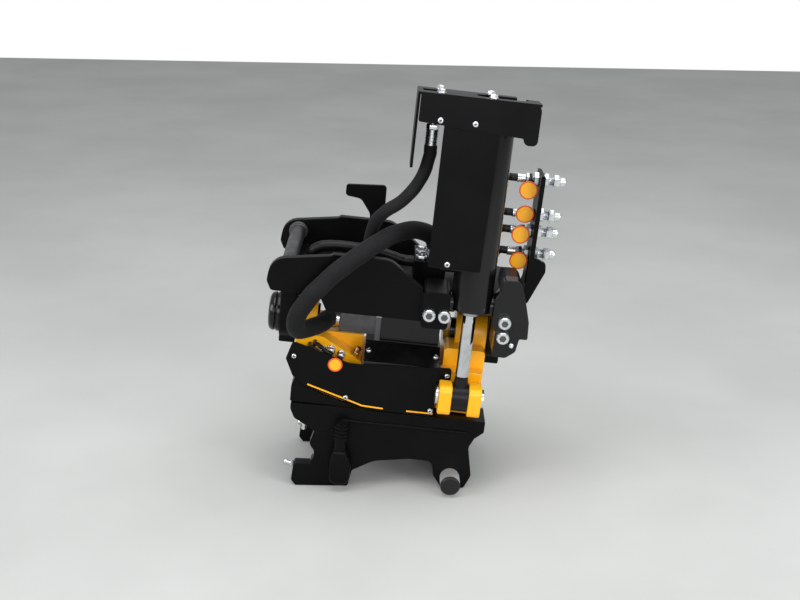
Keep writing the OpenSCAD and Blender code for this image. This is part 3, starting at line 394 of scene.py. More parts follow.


# Lighter colour on the edges of the black paints: a painted highlight
BLACK_EDGE_HIGHLIGHT = (0.03, 0.03, 0.031)
BLACK = paint("BlackPaint", (0.0022, 0.0022, 0.0025), (0.0032, 0.0032, 0.0036),
              rough=0.34, shine=0.09, coat=0.0, worn=BLACK_EDGE_HIGHLIGHT)
GLOSS_BLACK = paint("GlossBlackPaint", (0.0028, 0.0028, 0.0032), (0.004, 0.004, 0.0045),
                    rough=0.2, shine=0.3, coat=0.12, worn=BLACK_EDGE_HIGHLIGHT)
YELLOW = paint("YellowPaint", (0.97, 0.42, 0.004), (1.0, 0.47, 0.006),
               rough=0.3, shine=0.4, coat=0.2, worn=(0.5, 0.27, 0.05), edge_wear_and_highlight=0.2)
ZINC = metal("ZincPlate", (0.74, 0.76, 0.78), (0.45, 0.46, 0.47), rough=0.28)
STEEL = metal("BareSteel", (0.38, 0.38, 0.39), (0.16, 0.15, 0.145), rough=0.38, stain=0.8)
# Dark oiled steel; also the near-black floors of the shallow screw sockets, painted as the shade inside a
# deep socket
DARK_STEEL_AND_SOCKET_SHADE = metal("OiledSteelAndSocketShade", (0.12, 0.12, 0.125), (0.05, 0.05, 0.05), rough=0.42, stain=0.7)
BRONZE = metal("Bronze", (0.62, 0.4, 0.16), (0.32, 0.2, 0.08), rough=0.34)
RUBBER = rubber_finish("HoseRubber", (0.0035, 0.0035, 0.004), (0.009, 0.009, 0.0095), rough=0.38)
SLEEVE = sleeve_finish("HoseSleeve")
# Metres from the rod pin's axis to the chrome, and millimetres outside the hitch plates
# over which the lock pins turn bare and then dark again, the dark ends being painted shade
EYE_LENGTH = 0.044
LOCK_BARE_FROM = (0.8, 1.2)
LOCK_END_SHADE = (38.0, 41.0)


def rod_masks(tree):
    """Chrome on the rod above its blackened eye."""
    origin = row_point(ROD_PIN, (0, 0, 0))
    axis = (ROD_PIN.to_3x3() @ Vector((0, 0, 1))).normalized()
    return ramp(tree, along_axis(tree, origin, axis), EYE_LENGTH, EYE_LENGTH + 0.0006)


def lock_bare_and_end_shade_masks(tree):
    """Bare steel on the side of the lock pins outside the plates; their end faces are painted dark as shade.
    """
    side = math_node(tree, "ABSOLUTE", along_axis(tree, row_point(STAND, (0, 0, 0)), (0, 1, 0)))
    inner, end_shade = [ramp(tree, side, (HITCH_Y + low) * MM, (HITCH_Y + high) * MM)
                    for low, high in (LOCK_BARE_FROM, LOCK_END_SHADE)]
    return math_node(tree, "SUBTRACT", inner, end_shade, True)


ROD_CHROME = two_part_metal("RodChromeAndEye", rod_masks, (0.62, 0.63, 0.65), (0.004, 0.004, 0.0045),
                            rough_bright=0.1, rough_dark=0.34)
# Lock pins: bare steel sides, with end faces painted near black as shade
LOCK_STEEL_END_SHADE = two_part_metal("LockPinSteelEndShade", lock_bare_and_end_shade_masks, (0.82, 0.82, 0.81), (0.012, 0.012, 0.0125),
                            rough_bright=0.6, rough_dark=0.4)
TAG_FACE = tag_finish("TagFace", (1.0, 0.46, 0.01), (0.96, 0.4, 0.008))
TAG_RIM = tag_finish("TagRim", (0.75, 0.1, 0.01), (0.68, 0.08, 0.008))

SLOT_FINISH = {
    "black_paint": BLACK, "yellow_paint": YELLOW, "zinc": ZINC, "steel": STEEL, "chrome": ROD_CHROME,
    "bronze": BRONZE, "rubber": RUBBER, "sleeve": SLEEVE, "tag": TAG_FACE,
}
NODE_FINISH = {
    "top_cover": GLOSS_BLACK, "trunnion_block_cap": GLOSS_BLACK, "tilt_axle_front": GLOSS_BLACK,
    "tilt_axle_rear": GLOSS_BLACK, "cross_pin": DARK_STEEL_AND_SOCKET_SHADE, "valve_block": DARK_STEEL_AND_SOCKET_SHADE, "barrel": GLOSS_BLACK,
    "slew_motor": GLOSS_BLACK, "lock_pin_near": LOCK_STEEL_END_SHADE, "lock_pin_far": LOCK_STEEL_END_SHADE,
    "swivel_cover": GLOSS_BLACK,
}
# Edge rounding of the CAD pieces in millimetres; cast pieces are rounder than plates
NODE_ROUND = {
    "gear_housing": 4.0, "rod_clevis": 4.0, "trunnion_block": 4.0, "trunnion_block_cap": 4.0,
    "trunnion_arm": 3.0, "trunnion_arm_cap": 3.0, "hanger_front": 3.0, "hanger_rear": 3.0,
    "aux_elbow": 6.0, "slew_motor": 2.0, "valve_block": 1.5, "guard_plate": 0.8, "side_cover": 1.0,
    "top_cover": 1.0, "worm_wheel": 0.3, "worm_shaft": 0.0,
}
PLAIN_ROUND = 1.2


def smooth_edges(piece, width, angle=32.0):
    """Rounds the edges of a piece so that they catch the light."""
    for polygon in piece.data.polygons:
        polygon.use_smooth = True
    weld = piece.modifiers.new("Weld", "WELD")
    weld.merge_threshold = 0.00002
    flat = piece.modifiers.new("Flat", "DECIMATE")
    flat.decimate_type = "DISSOLVE"
    flat.angle_limit = math.radians(0.6)
    if width:
        edge = piece.modifiers.new("Edge", "BEVEL")
        edge.width = width * MM
        edge.segments = 3
        edge.limit_method = "ANGLE"
        edge.angle_limit = math.radians(angle)
        edge.harden_normals = True
        edge.use_clamp_overlap = True
    normals = piece.modifiers.new("Normals", "WEIGHTED_NORMAL")
    normals.keep_sharp = True


for subpart in frame["record"]["subparts"]:
    piece = nodes[subpart["node"]]
    piece.data.materials.clear()
    piece.data.materials.append(NODE_FINISH.get(subpart["node"], SLOT_FINISH[subpart["material_slot"]]))
    smooth_edges(piece, NODE_ROUND.get(subpart["node"], PLAIN_ROUND))


# Mesh makers; sizes are in millimetres in the place's own frame
SHARP_ANGLE = 35.0


def finish_mesh(bm, name, finishes, place):
    """Object of a mesh drawn in a place's own frame, with its finishes in slot order."""
    bmesh.ops.remove_doubles(bm, verts=bm.verts, dist=1e-4)
    bmesh.ops.recalc_face_normals(bm, faces=bm.faces)
    mesh = bpy.data.meshes.new(name)
    bm.to_mesh(mesh)
    bm.free()
    mesh.transform(METRES @ place)
    for polygon in mesh.polygons:
        polygon.use_smooth = True
    mesh.set_sharp_from_angle(angle=math.radians(SHARP_ANGLE))
    for finish in finishes:
        mesh.materials.append(finish)
    piece = bpy.data.objects.new(name, mesh)
    bpy.context.scene.collection.objects.link(piece)
    return piece


def circle(radius, height, sides=24):
    """Loop of points round the axis at a height."""
    angles = [2 * math.pi * i / sides for i in range(sides)]
    return [Vector((radius * math.cos(angle), radius * math.sin(angle), height)) for angle in angles]


def hexagon(across, height, sides=24):
    """Hexagon with the same number of points as a circle; across is corner to corner."""
    corners = circle(across / 2, height, 6)
    share = sides // 6
    return [corners[k].lerp(corners[(k + 1) % 6], i / share) for k in range(6) for i in range(share)]


def rounded_rect(width, depth, radius, height, steps=4):
    """Loop of a rectangle with round corners, at a height."""
    points = []
    for k, (sx, sy) in enumerate(((1, 1), (-1, 1), (-1, -1), (1, -1))):
        for i in range(steps + 1):
            angle = math.pi / 2 * (k + i / steps)
            points.append(Vector((sx * (width / 2 - radius) + radius * math.cos(angle),
                                  sy * (depth / 2 - radius) + radius * math.sin(angle), height)))
    return points


def add_loft(bm, loops, place, slot=0):
    """Closed skin over loops that have the same number of points, from the first to the last."""
    rings = [[bm.verts.new(place @ point) for point in loop] for loop in loops]
    faces = [bm.faces.new(rings[0][::-1]), bm.faces.new(rings[-1])]
    for low, high in zip(rings, rings[1:]):
        for i in range(len(low)):
            j = (i + 1) % len(low)
            faces.append(bm.faces.new((low[i], low[j], high[j], high[i])))
    for face in faces:
        face.material_index = slot


def add_lathe(bm, profile, place, sides=24, slot=0):
    """Turned form: profile is a list of (radius, height) from bottom to top, closed on the axis."""
    add_loft(bm, [circle(radius, height, sides) for radius, height in profile], place, slot)


def add_ring(bm, profile, place, sides=32, slot=0):
    """Turned ring: profile is a closed loop of (radius, height)."""
    loops = []
    for i in range(sides):
        angle = 2 * math.pi * i / sides
        spoke = [Vector((r * math.cos(angle), r * math.sin(angle), h)) for r, h in profile]
        loops.append([bm.verts.new(place @ point) for point in spoke])
    count = len(profile)
    for i in range(sides):
        a, b = loops[i], loops[(i + 1) % sides]
        for k in range(count):
            m = (k + 1) % count
            bm.faces.new((a[k], b[k], b[m], a[m])).material_index = slot


def add_hex(bm, across, height, place, chamfer=0.12, slot=0):
    """Hexagon nut or bolt head with chamfered corners; across is corner to corner."""
    r = across / 2
    cut = height * chamfer
    add_lathe(bm, [(r * 0.93, 0), (r, cut), (r, height - cut), (r * 0.93, height)], place, 6, slot)


def add_block(bm, width, depth, height, place, radius=1.0, slot=0):
    """Block with rounded corners and a small chamfer at both ends, standing on its place."""
    cut = min(0.5, height / 4)
    small = (width - 2 * cut, depth - 2 * cut, max(0.1, radius - cut))
    loops = [rounded_rect(*small, 0), rounded_rect(width, depth, radius, cut),
             rounded_rect(width, depth, radius, height - cut), rounded_rect(*small, height)]
    add_loft(bm, loops, place, slot)


def crimped(radius, start, end, count, depth=0.7):
    """Profile of a crimped hose ferrule, with count grooves between its ends."""
    step = (end - start) / (count + 1)
    profile = [(radius - 1, start), (radius, start + 0.8)]
    for k in range(1, count + 1):
        middle = start + k * step
        profile += [(radius, middle - 1.1), (radius - depth, middle - 0.5), (radius - depth, middle + 0.5),
                    (radius, middle + 1.1)]
    return profile + [(radius, end - 0.8), (radius - 1, end)]


def threaded(radius, start, end, pitch=1.6, depth=0.6):
    """Profile of a thread, drawn as rings."""
    count = max(2, int((end - start) / pitch))
    profile = [(radius - depth, start)]
    for k in range(count):
        low = start + (end - start) * k / count
        profile += [(radius, low + pitch * 0.4), (radius - depth, low + pitch * 0.85)]
    return profile + [(radius - depth - 0.6, end)]


def tube_frames(points):
    """Directions of a tube that never twists."""
    frames = []
    side = Vector((0.3, 0.5, 0.81))
    for i in range(len(points)):
        ahead = (points[min(len(points) - 1, i + 1)] - points[max(0, i - 1)]).normalized()
        side = (side - ahead * side.dot(ahead)).normalized()
        frames.append((ahead, side, ahead.cross(side)))
    return frames


def spline(points, steps):
    """Smooth route through the points, the same one as in the part's source."""
    given = [Vector(p) for p in points]
    route = []
    last = len(given) - 1
    for i in range(last):
        a, b = given[max(0, i - 1)], given[i]
        c, d = given[i + 1], given[min(last, i + 2)]
        for j in range(steps):
            t = j / steps
            route.append(0.5 * (2 * b + (c - a) * t + (2 * a - 5 * b + 4 * c - d) * t * t
                                + (3 * b - a - 3 * c + d) * t ** 3))
    route.append(given[-1])
    return route


def hose_mesh(name, points, diameter, finish, steps=8, sides=28, swell=None):
    """Tube along a route in the stand's frame, with tube coordinates for its weave."""
    route = spline(points, steps)
    frames = tube_frames(route)
    bm = bmesh.new()
    layer = bm.loops.layers.uv.new("Tube")
    along = [0.0]
    for a, b in zip(route, route[1:]):
        along.append(along[-1] + (b - a).length)
    rings = []
    for i, (centre, (_, side, up)) in enumerate(zip(route, frames)):
        ring = []
        for k in range(sides):
            angle = 2 * math.pi * k / sides
            r = diameter / 2 * (swell(along[i], angle, along[-1]) if swell else 1.0)
            ring.append(bm.verts.new(centre + r * (side * math.cos(angle) + up * math.sin(angle))))
        rings.append(ring)
    for i in range(len(rings) - 1):
        for k in range(sides):
            m = (k + 1) % sides
            face = bm.faces.new((rings[i][k], rings[i][m], rings[i + 1][m], rings[i + 1][k]))
            for loop, (u, v) in zip(face.loops, ((k, i), (k + 1, i), (k + 1, i + 1), (k, i + 1))):
                loop[layer].uv = (u / sides, along[v] * MM)
    bm.faces.new(rings[0][::-1])
    bm.faces.new(rings[-1])
    piece = finish_mesh(bm, name, [finish], STAND)
    path = [row_point(STAND, p) for p in route]
    return piece, path, along[-1] * MM


# Camera at the photograph's place and angle, for a frame of 800 by 600
VIEW_UP = 18.5
VIEW_FAR = 2.592
VIEW_AIM = Vector((PLACE[0] * MM, PLACE[1] * MM, 0.363))
VIEW_ROLL = 1.0
FOCAL_PX = 1270.0
FRAME_PX = 800.0
SENSOR = 36.0

camera_data = bpy.data.cameras.new("Camera")
camera_data.sensor_width = SENSOR
camera_data.lens = FOCAL_PX / FRAME_PX * SENSOR
camera = bpy.data.objects.new("Camera", camera_data)
bpy.context.scene.collection.objects.link(camera)
up = math.radians(VIEW_UP)
camera.location = VIEW_AIM + VIEW_FAR * Vector((0, -math.cos(up), math.sin(up)))
aim = (VIEW_AIM - camera.location).to_track_quat("-Z", "Y").to_matrix().to_4x4()
camera.matrix_world = Matrix.Translation(camera.location) @ aim @ turn(VIEW_ROLL, "Z")
bpy.context.scene.camera = camera

# Floor, lamps and world
floor_material, floor_tree, floor_shader = new_finish("PaleFloor")
floor_cloud = ramp(floor_tree, noise(floor_tree, 1.6, 4.0, 0.55), 0.3, 0.7)
floor_tree.links.new(mix_colour(floor_tree, floor_cloud, (0.46, 0.47, 0.455), (0.51, 0.52, 0.505)),
                     floor_shader.inputs["Base Color"])
floor_shader.inputs["Roughness"].default_value = 0.8
floor_shader.inputs["Specular IOR Level"].default_value = 0.1
FLOOR_HALF = 6000.0
FLOOR_DROP = 0.5
floor_bm = bmesh.new()
bmesh.ops.create_grid(floor_bm, x_segments=8, y_segments=8, size=FLOOR_HALF)
floor = finish_mesh(floor_bm, "Floor", [floor_material], spot(0, 0, -FLOOR_DROP))

world = bpy.data.worlds.new("Studio")
bpy.context.scene.world = world
world.use_nodes = True
studio = world.node_tree
lighting = studio.nodes["Background"]
lighting.inputs["Color"].default_value = (0.86, 0.88, 0.9, 1.0)
lighting.inputs["Strength"].default_value = 0.6
# The camera sees a white wall; the part is lit by the level above
wall = add(studio, "ShaderNodeBackground", Color=(1.0, 1.0, 1.0, 1.0), Strength=1.0)
seen = add(studio, "ShaderNodeMixShader")
studio.links.new(add(studio, "ShaderNodeLightPath").outputs["Is Camera Ray"], seen.inputs[0])
studio.links.new(lighting.outputs[0], seen.inputs[1])
studio.links.new(wall.outputs[0], seen.inputs[2])
studio.links.new(seen.outputs[0], studio.nodes["World Output"].inputs["Surface"])


def softbox(name, place, target, width, height, power):
    """Rectangular lamp turned to its target, in metres and watts."""
    data = bpy.data.lights.new(name, "AREA")
    data.shape = "RECTANGLE"
    data.size = width
    data.size_y = height
    data.energy = power
    lamp = bpy.data.objects.new(name, data)
    lamp.location = place
    lamp.rotation_euler = (Vector(target) - Vector(place)).to_track_quat("-Z", "Y").to_euler()
    bpy.context.scene.collection.objects.link(lamp)


softbox("CeilingLight", (0.2, -0.4, 3.2), (0, 0, 0.3), 3.2, 2.4, 70.0)
softbox("LeftLight", (-2.6, -1.6, 1.8), (0, 0, 0.35), 1.6, 1.6, 46.0)
softbox("RightLight", (2.4, -2.2, 1.6), (0, 0, 0.4), 1.4, 1.4, 42.0)
softbox("FrontLight", (0.1, -3.4, 1.5), (0, 0, 0.45), 2.2, 1.2, 30.0)
bpy.context.scene.view_settings.view_transform = "Standard"

# Hose routes of the part's source, in the stand's frame
CYLINDER_PORT = STAND.inverted() @ TRUNNION @ Vector((*CYLINDER_PORT_XY, BARREL_UP - PORT_FITTING_LONG))
PORT_DOWN = (STAND.inverted() @ TRUNNION).to_3x3() @ Vector((0, 0, -1))


def drop_z(share):
    """Height at a share of the way from the base plate up to the cylinder's port."""
    return BASE_TOP + share * (CYLINDER_PORT.z - 20 - BASE_TOP)


CYLINDER_ROUTE = [
    CYLINDER_PORT + HOSE_GAP * PORT_DOWN, CYLINDER_PORT + 10 * PORT_DOWN, CYLINDER_PORT + 20 * PORT_DOWN,
    (5, -120, drop_z(0.84)), (-22, -130, drop_z(0.69)), (-55, -126, drop_z(0.58)), (-72, -112, drop_z(0.48)),
    (-78, -100, drop_z(0.35)), (-78, -92, drop_z(0.22)), (*CYLINDER_HOSE_XY, BASE_TOP + 26),
    (*CYLINDER_HOSE_XY, BASE_TOP + 14), (*CYLINDER_HOSE_XY, BASE_TOP + HOSE_GAP),
]
MAIN_ROUTE = [
    (*MAIN_HOSE_XY, MANIFOLD_TOP + HOSE_GAP), (*MAIN_HOSE_XY, MANIFOLD_TOP + 12),
    (53, -33, MANIFOLD_TOP + 24), (40, -46, 206), (8, -76, 222), (-30, -110, 220), (-66, -146, 206),
    (-104, -173, 180), (-136, -179, 151), (-158, -180, 126), (-178, -179, 100), (-198, -175, 64),
    (-204, -167, 36), (-198, -148, 18), (-178, -118, 13), (-156, -86, 14), (-149, -56, 12), (-145, -35, 9),
    (VALVE_X0 - 16, *VALVE_PORT_YZ), (VALVE_X0 - 8, *VALVE_PORT_YZ), (VALVE_X0 - HOSE_GAP, *VALVE_PORT_YZ),
]
MIDDLE_ROUTE = [
    (13.7, 0, 136), (2, 0, 136), (-12, 0, 137), (-60, 0, 148), (-120, 0, 152), (-162, 0, 150), (-184, 0, 142),
    (-194, 0, 128), (-195, 0, 119), (-195, 0, 110.3),
]
CYLINDER_HOSE_D = 25.0
MAIN_HOSE_D = 36.0
MIDDLE_HOSE_D = 22.0
COUPLING_HOSE_D = 15.0
GREASE_LINE_D = 8.0


def sleeve_folds(depth, spacing):
    """Slack folds of a fabric sleeve, deeper on one side."""
    def swell(along, angle, total):
        end = min(1.0, along / 20.0, (total - along) / 20.0)
        wave = math.sin(along / spacing + 1.3 * math.sin(angle + along / 90.0))
        return 1.0 + end * depth * (wave * (0.6 + 0.4 * math.cos(angle - along / 70.0)) - 0.6)
    return swell


main_hose, path, length = hose_mesh("MainHoseSleeve", MAIN_ROUTE, MAIN_HOSE_D, SLEEVE,
                                    swell=sleeve_folds(0.025, 9.0))
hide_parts("main_hose")
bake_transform(main_hose)

cylinder_hose, path, length = hose_mesh("CylinderHoseSleeve", CYLINDER_ROUTE, CYLINDER_HOSE_D, SLEEVE,
                                        swell=sleeve_folds(0.03, 7.0))
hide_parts("cylinder_hose")
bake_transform(cylinder_hose)

middle_hose, path, length = hose_mesh("MiddleHose", MIDDLE_ROUTE, MIDDLE_HOSE_D, RUBBER,
                                      swell=sleeve_folds(0.05, 3.0))
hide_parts("middle_hose")
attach(middle_hose, "upper_frame")

COUPLING_LANE = (-24, -6, 16, 38)
FIRST_PORT_Y = -16
PORT_STEP = 19
end_x = BRACKET_X - COUPLING_IN - HOSE_GAP
port_x = MANIFOLD_X1 + HOSE_GAP
for i, (z, lane) in enumerate(zip(COUPLING_Z, COUPLING_LANE)):
    port_y = FIRST_PORT_Y + PORT_STEP * i
    side = lane - BRACKET_MID
    route = [(end_x, BRACKET_MID, z), (end_x - 6, BRACKET_MID, z), (end_x - 12, BRACKET_MID, z),
             (end_x - 18, BRACKET_MID + 0.35 * side, z - 5), (end_x - 22, BRACKET_MID + 0.75 * side, z - 18),
             (end_x - 30, lane, z - 42), (end_x - 44, lane, 67 + 0.45 * z),
             (port_x + 26, port_y, MANIFOLD_PORT_Z + 2), (port_x + 12, port_y, MANIFOLD_PORT_Z),
             (port_x, port_y, MANIFOLD_PORT_Z)]
    hose, path, length = hose_mesh("CouplingHose%d" % (i + 1), route, COUPLING_HOSE_D, RUBBER,
                                   steps=6, sides=20)
    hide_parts("coupling_hoses")
    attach(hose, "upper_frame")

# Each grease line leaves the tip of a housing fitting and turns back to the wall
GREASE_START_XZ = (FITTING_XZ[0], FITTING_XZ[2])
GREASE_END_XZ = ((-166, -24), (-176, -30))
start_y, end_y = TOWER_Y - FITTING_LONG - HOSE_GAP, TOWER_Y - HOSE_GAP
for i, ((x, z), (end_x, end_z)) in enumerate(zip(GREASE_START_XZ, GREASE_END_XZ)):
    route = [(x, start_y, z), (x, start_y - 4, z), (x, start_y - 8, z), (x - 10, start_y - 10, z + 6),
             (end_x + 8, start_y - 8, end_z + 3), (end_x + 1, start_y, end_z + 1), (end_x, end_y - 8, end_z),
             (end_x, end_y - 4, end_z), (end_x, end_y, end_z)]
    line, path, length = hose_mesh("GreaseLine%d" % (i + 1), route, GREASE_LINE_D, RUBBER, steps=6, sides=16)
    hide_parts("grease_lines")
    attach(line, "rotor_housing")

# Screws, fittings, tags and other small pieces


def dress(bm, name, finishes, place, body, slot, *stands_for):
    """Makes a piece from its mesh and lets it ride on its body."""
    piece = finish_mesh(bm, name, finishes, place)
    if stands_for:
        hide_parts(*stands_for)
    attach(piece, body)


def add_socket_screw(bm, place, d, t):
    """Cap screw head with a knurled side and a shallow hexagon socket whose dark floor in slot 1 is painted
    shade of a deep socket.
    """
    r = d / 2
    add_loft(bm, [circle(r * 0.96, 0), circle(r, t * 0.06), circle(r, t * 0.9), circle(r * 0.9, t),
                  hexagon(d * 0.6, t), hexagon(d * 0.56, t * 0.94)], place)
    # Dark floor of the shallow socket: painted shade of a deep socket
    add_loft(bm, [hexagon(d * 0.555, t * 0.93), hexagon(d * 0.56, t * 0.945)], place, 1)
    ridges = 36
    for k in range(ridges):
        rib = place @ turn(360 * k / ridges, "Z") @ spot(r, 0, t * 0.12) @ turn(45, "Z")
        add_block(bm, d * 0.03, d * 0.03, t * 0.7, rib, 0.1)


def add_button_screw(bm, place, d, t):
    """Button head with a small shallow hexagon socket whose dark floor in slot 1 is painted shade of a deep
    socket.
    """
    r = d / 2
    add_loft(bm, [circle(r, 0), circle(r, t * 0.25), circle(r * 0.92, t * 0.55), circle(r * 0.74, t * 0.85),
                  circle(r * 0.58, t * 0.97), hexagon(d * 0.5, t), hexagon(d * 0.45, t * 0.95)], place)
    # Dark floor of the shallow socket: painted shade of a deep socket
    add_loft(bm, [hexagon(d * 0.445, t * 0.94), hexagon(d * 0.45, t * 0.955)], place, 1)


def add_hex_bolt(bm, place, across, t, washer):
    """Hexagon head with a domed top on a washer."""
    thick = 2.2
    add_lathe(bm, [(washer - 0.4, 0), (washer, 0.4), (washer, thick - 0.4), (washer - 0.4, thick)], place)
    add_hex(bm, across, t, place @ spot(0, 0, thick))
    dome = [(across * 0.4, 0), (across * 0.36, 0.6), (across * 0.2, 1.0)]
    add_lathe(bm, dome, place @ spot(0, 0, thick + t))


# Head width and height of each kind of screw; a hexagon bolt also has its washer's radius
ARM_SCREW = (24.0, 16.0)
DOME_SCREW = (12.0, 4.0)
COVER_SCREW = (11.0, 4.5)
VALVE_SCREW = (10.0, 6.0)
HOOD_BOLT = (15.0, 5.0, 9.0)

ARM_SCREW_XZ = ((48, 86), (77, 86), (193, 86), (193, 56))
bm = bmesh.new()
for x, z in ARM_SCREW_XZ:
    add_socket_screw(bm, spot(x, ARM_NEAR - SEAT, z) @ TO_NEAR, *ARM_SCREW)
dress(bm, "ArmScrews", [ZINC, DARK_STEEL_AND_SOCKET_SHADE], STAND, "upper_frame", "zinc", "cap_screws")

# The bolts on top of the hood stop at different angles; dome screws hold the hood and the guard plate
HOOD_BOLT_X = (-105, -9)
HOOD_BOLT_Y = (-34, 34)
DOME_SCREW_X = (-102, -38)
DOME_SCREW_Z = HOOD_UP - 48
GUARD_SCREW_X = -58
GUARD_SCREW_Z = GUARD_LOW + 9
bm = bmesh.new()
for x in HOOD_BOLT_X:
    for y in HOOD_BOLT_Y:
        add_hex_bolt(bm, spot(x, y, HOOD_UP + SEAT) @ turn(17 * x, "Z"), *HOOD_BOLT)
for x in DOME_SCREW_X:
    add_button_screw(bm, spot(x, HOOD_NEAR - SEAT, DOME_SCREW_Z) @ TO_NEAR, *DOME_SCREW)
add_button_screw(bm, spot(GUARD_SCREW_X, GUARD_NEAR - SEAT, GUARD_SCREW_Z) @ TO_NEAR, *DOME_SCREW)
dress(bm, "HoodScrews", [ZINC, DARK_STEEL_AND_SOCKET_SHADE], TRUNNION, "tilt_cylinder", "zinc", "hood_bolts")

COVER_SCREW_XZ = ((-203, -45), (-94, -122), (101, -54), (76, -132))
# The sloped cover falls by its drop over its depth; its screws lie inwards from the upper edge
PANEL_DROP = 27.0
PANEL_DEPTH = 49.0
PANEL_TOP_Z = -16.0
PANEL_SCREW_IN = 24.0
PANEL_SCREW_X = (-58, 76)
PANEL_SCREW_Y = -96.0
PANEL_LEAN = math.degrees(math.atan2(PANEL_DROP, PANEL_DEPTH))
PANEL_SCREW_Z = PANEL_TOP_Z - PANEL_SCREW_IN * math.tan(math.radians(PANEL_LEAN))
bm = bmesh.new()
for x, z in COVER_SCREW_XZ:
    add_button_screw(bm, spot(x, COVER_FACE - SEAT, z) @ TO_NEAR, *COVER_SCREW)
for x in PANEL_SCREW_X:
    lid = spot(x, PANEL_SCREW_Y, PANEL_SCREW_Z) @ turn(PANEL_LEAN, "X") @ spot(0, 0, SEAT)
    add_button_screw(bm, lid, *COVER_SCREW)
dress(bm, "CoverScrews", [ZINC, DARK_STEEL_AND_SOCKET_SHADE], STAND, "rotor_housing", "zinc", "cover_screws")

# Bulkhead couplings: ferrule, nuts on both sides of the plate and a capped tip
bm = bmesh.new()
for z in COUPLING_Z:
    place = spot(BRACKET_X, BRACKET_MID, z) @ TO_RIGHT
    add_lathe(bm, crimped(9.4, -COUPLING_IN, -35, 3), place)
    add_hex(bm, 22.0, 9.0, place @ spot(0, 0, -34.5))
    add_lathe(bm, threaded(8.4, -25.5, -19.2), place)
    add_hex(bm, 28.0, 10.0, place @ spot(0, 0, -19.2))
    add_lathe(bm, [(8.8, -9.5), (8.8, 0.4)], place)
    add_lathe(bm, [(13.4, 0.1), (14, 0.5), (14, 1.6), (13.4, 2)], place)
    add_hex(bm, 27.0, 8.0, place @ spot(0, 0, 2))
    add_lathe(bm, threaded(9.0, 10, 20), place)
    add_hex(bm, 25.0, 12.0, place @ spot(0, 0, 20))
    add_lathe(bm, [(8.2, 32), (10, 32.6), (10, 40), (9.2, 42.5), (7, COUPLING_TIP)], place)
dress(bm, "BulkheadCouplings", [ZINC], STAND, "upper_frame", "zinc", "bulkhead_couplings")

# Port tags: a round face in a raised rim, on a strap round the coupling
TAG_R = 18.0
TAG_NEAR = 17.0
STRAP_X = -26.0
TAG_LEANS = (4.0, -5.0, 7.0, -4.0)
bm = bmesh.new()
for z, (dx, dz), lean in zip(COUPLING_Z, TAG_OFF, TAG_LEANS):
    tag = spot(BRACKET_X + dx, BRACKET_MID - TAG_NEAR, z + dz) @ TO_NEAR @ turn(lean, "X")
    add_lathe(bm, [(TAG_R - 2.4, 0.1), (TAG_R - 2.4, 1.5)], tag, 40, 0)
    add_ring(bm, [(TAG_R - 2.6, 0), (TAG_R, 0), (TAG_R, 1.5), (TAG_R - 0.5, 2.1), (TAG_R - 2.1, 2.1),
                  (TAG_R - 2.6, 1.6)], tag, 40, 1)
    band = spot(BRACKET_X + STRAP_X, BRACKET_MID, z) @ TO_RIGHT
    add_ring(bm, [(8.6, -3), (10.4, -3), (10.9, -2.4), (10.9, 2.4), (10.4, 3), (8.6, 3)], band, 28, 2)
    tab = spot(BRACKET_X + STRAP_X, BRACKET_MID - 10, z) @ TO_NEAR
    add_block(bm, 6, 8, 7.2, tab, 1.5, 2)
dress(bm, "PortTags", [TAG_FACE, TAG_RIM, RUBBER], STAND, "upper_frame", "tag", "port_tags")

# Port fitting under the barrel head, with the crimped ferrule of its hose
bm = bmesh.new()
place = spot(*CYLINDER_PORT_XY, BARREL_UP) @ DOWN
add_lathe(bm, threaded(8.6, 0, 4), place)
add_hex(bm, 26.0, 11.0, place @ spot(0, 0, 3))
add_lathe(bm, [(9, 14), (9.6, 14.5), (9.6, 17.5), (9, 18)], place)
add_hex(bm, 25.0, 10.0, place @ spot(0, 0, 17.5))
add_lathe(bm, crimped(12.4, 27, PORT_FITTING_LONG, 5), place)
dress(bm, "PortFitting", [ZINC], TRUNNION, "tilt_cylinder", "zinc", "port_fitting")

# Fittings on the near wall of the housing, and a brass one on its slope
bm = bmesh.new()
for x, z in FITTING_XZ:
    place = spot(x, TOWER_Y - SEAT, z) @ TO_NEAR
    add_lathe(bm, [(8.6, 0), (9, 0.4), (9, 1.6), (8.6, 2)], place)
    add_hex(bm, 16.0, 8.0, place @ spot(0, 0, 2))
    add_lathe(bm, threaded(5.4, 10, 14), place)
    add_lathe(bm, [(5.2, 14), (6.2, 14.4), (6.2, FITTING_LONG - 0.4), (5.4, FITTING_LONG)], place)
SLOPE_FITTING = (-86, -74, -49.2)
SLOPE_LEAN = 28.8
place = spot(*SLOPE_FITTING) @ turn(SLOPE_LEAN, "Y")
add_hex(bm, 17.0, 8.0, place, slot=1)
add_lathe(bm, [(5, 8), (5.6, 8.6), (5.6, 13), (6.6, 13.5), (6.6, 17), (4.5, 19), (2.5, 19.4)], place, slot=1)
dress(bm, "HousingFittings", [ZINC, BRONZE], STAND, "rotor_housing", "zinc", "housing_fittings")

# Grease nipple on the trunnion block
NIPPLE = [(4.4, 0), (4.4, 4), (3, 4.6), (2.6, 7), (3.2, 8), (3.2, 9.4), (2.2, 10.6), (1, 11)]
NIPPLE_X, NIPPLE_Z = 212, 40
bm = bmesh.new()
add_lathe(bm, NIPPLE, spot(NIPPLE_X, ARM_NEAR - SEAT, NIPPLE_Z) @ TO_NEAR, 18)
dress(bm, "FrameNipples", [ZINC], STAND, "upper_frame", "zinc")

# Grease fittings under the nose of the hitch deck and on the tip of its near claw
FITTING = [(3.6, 5.8), (4.2, 6.3), (4.2, 12), (5.2, 12.5), (5.2, 17), (4.2, 18.5), (2, 19)]
bm = bmesh.new()
for place in (spot(-172, -100, -193) @ DOWN, spot(-187, -105, -287.5) @ turn(-80, "Y")):
    add_hex(bm, 13.0, 6.0, place)
    add_lathe(bm, FITTING, place, 20)
dress(bm, "HitchFittings", [ZINC], STAND, "lower_hitch", "zinc")

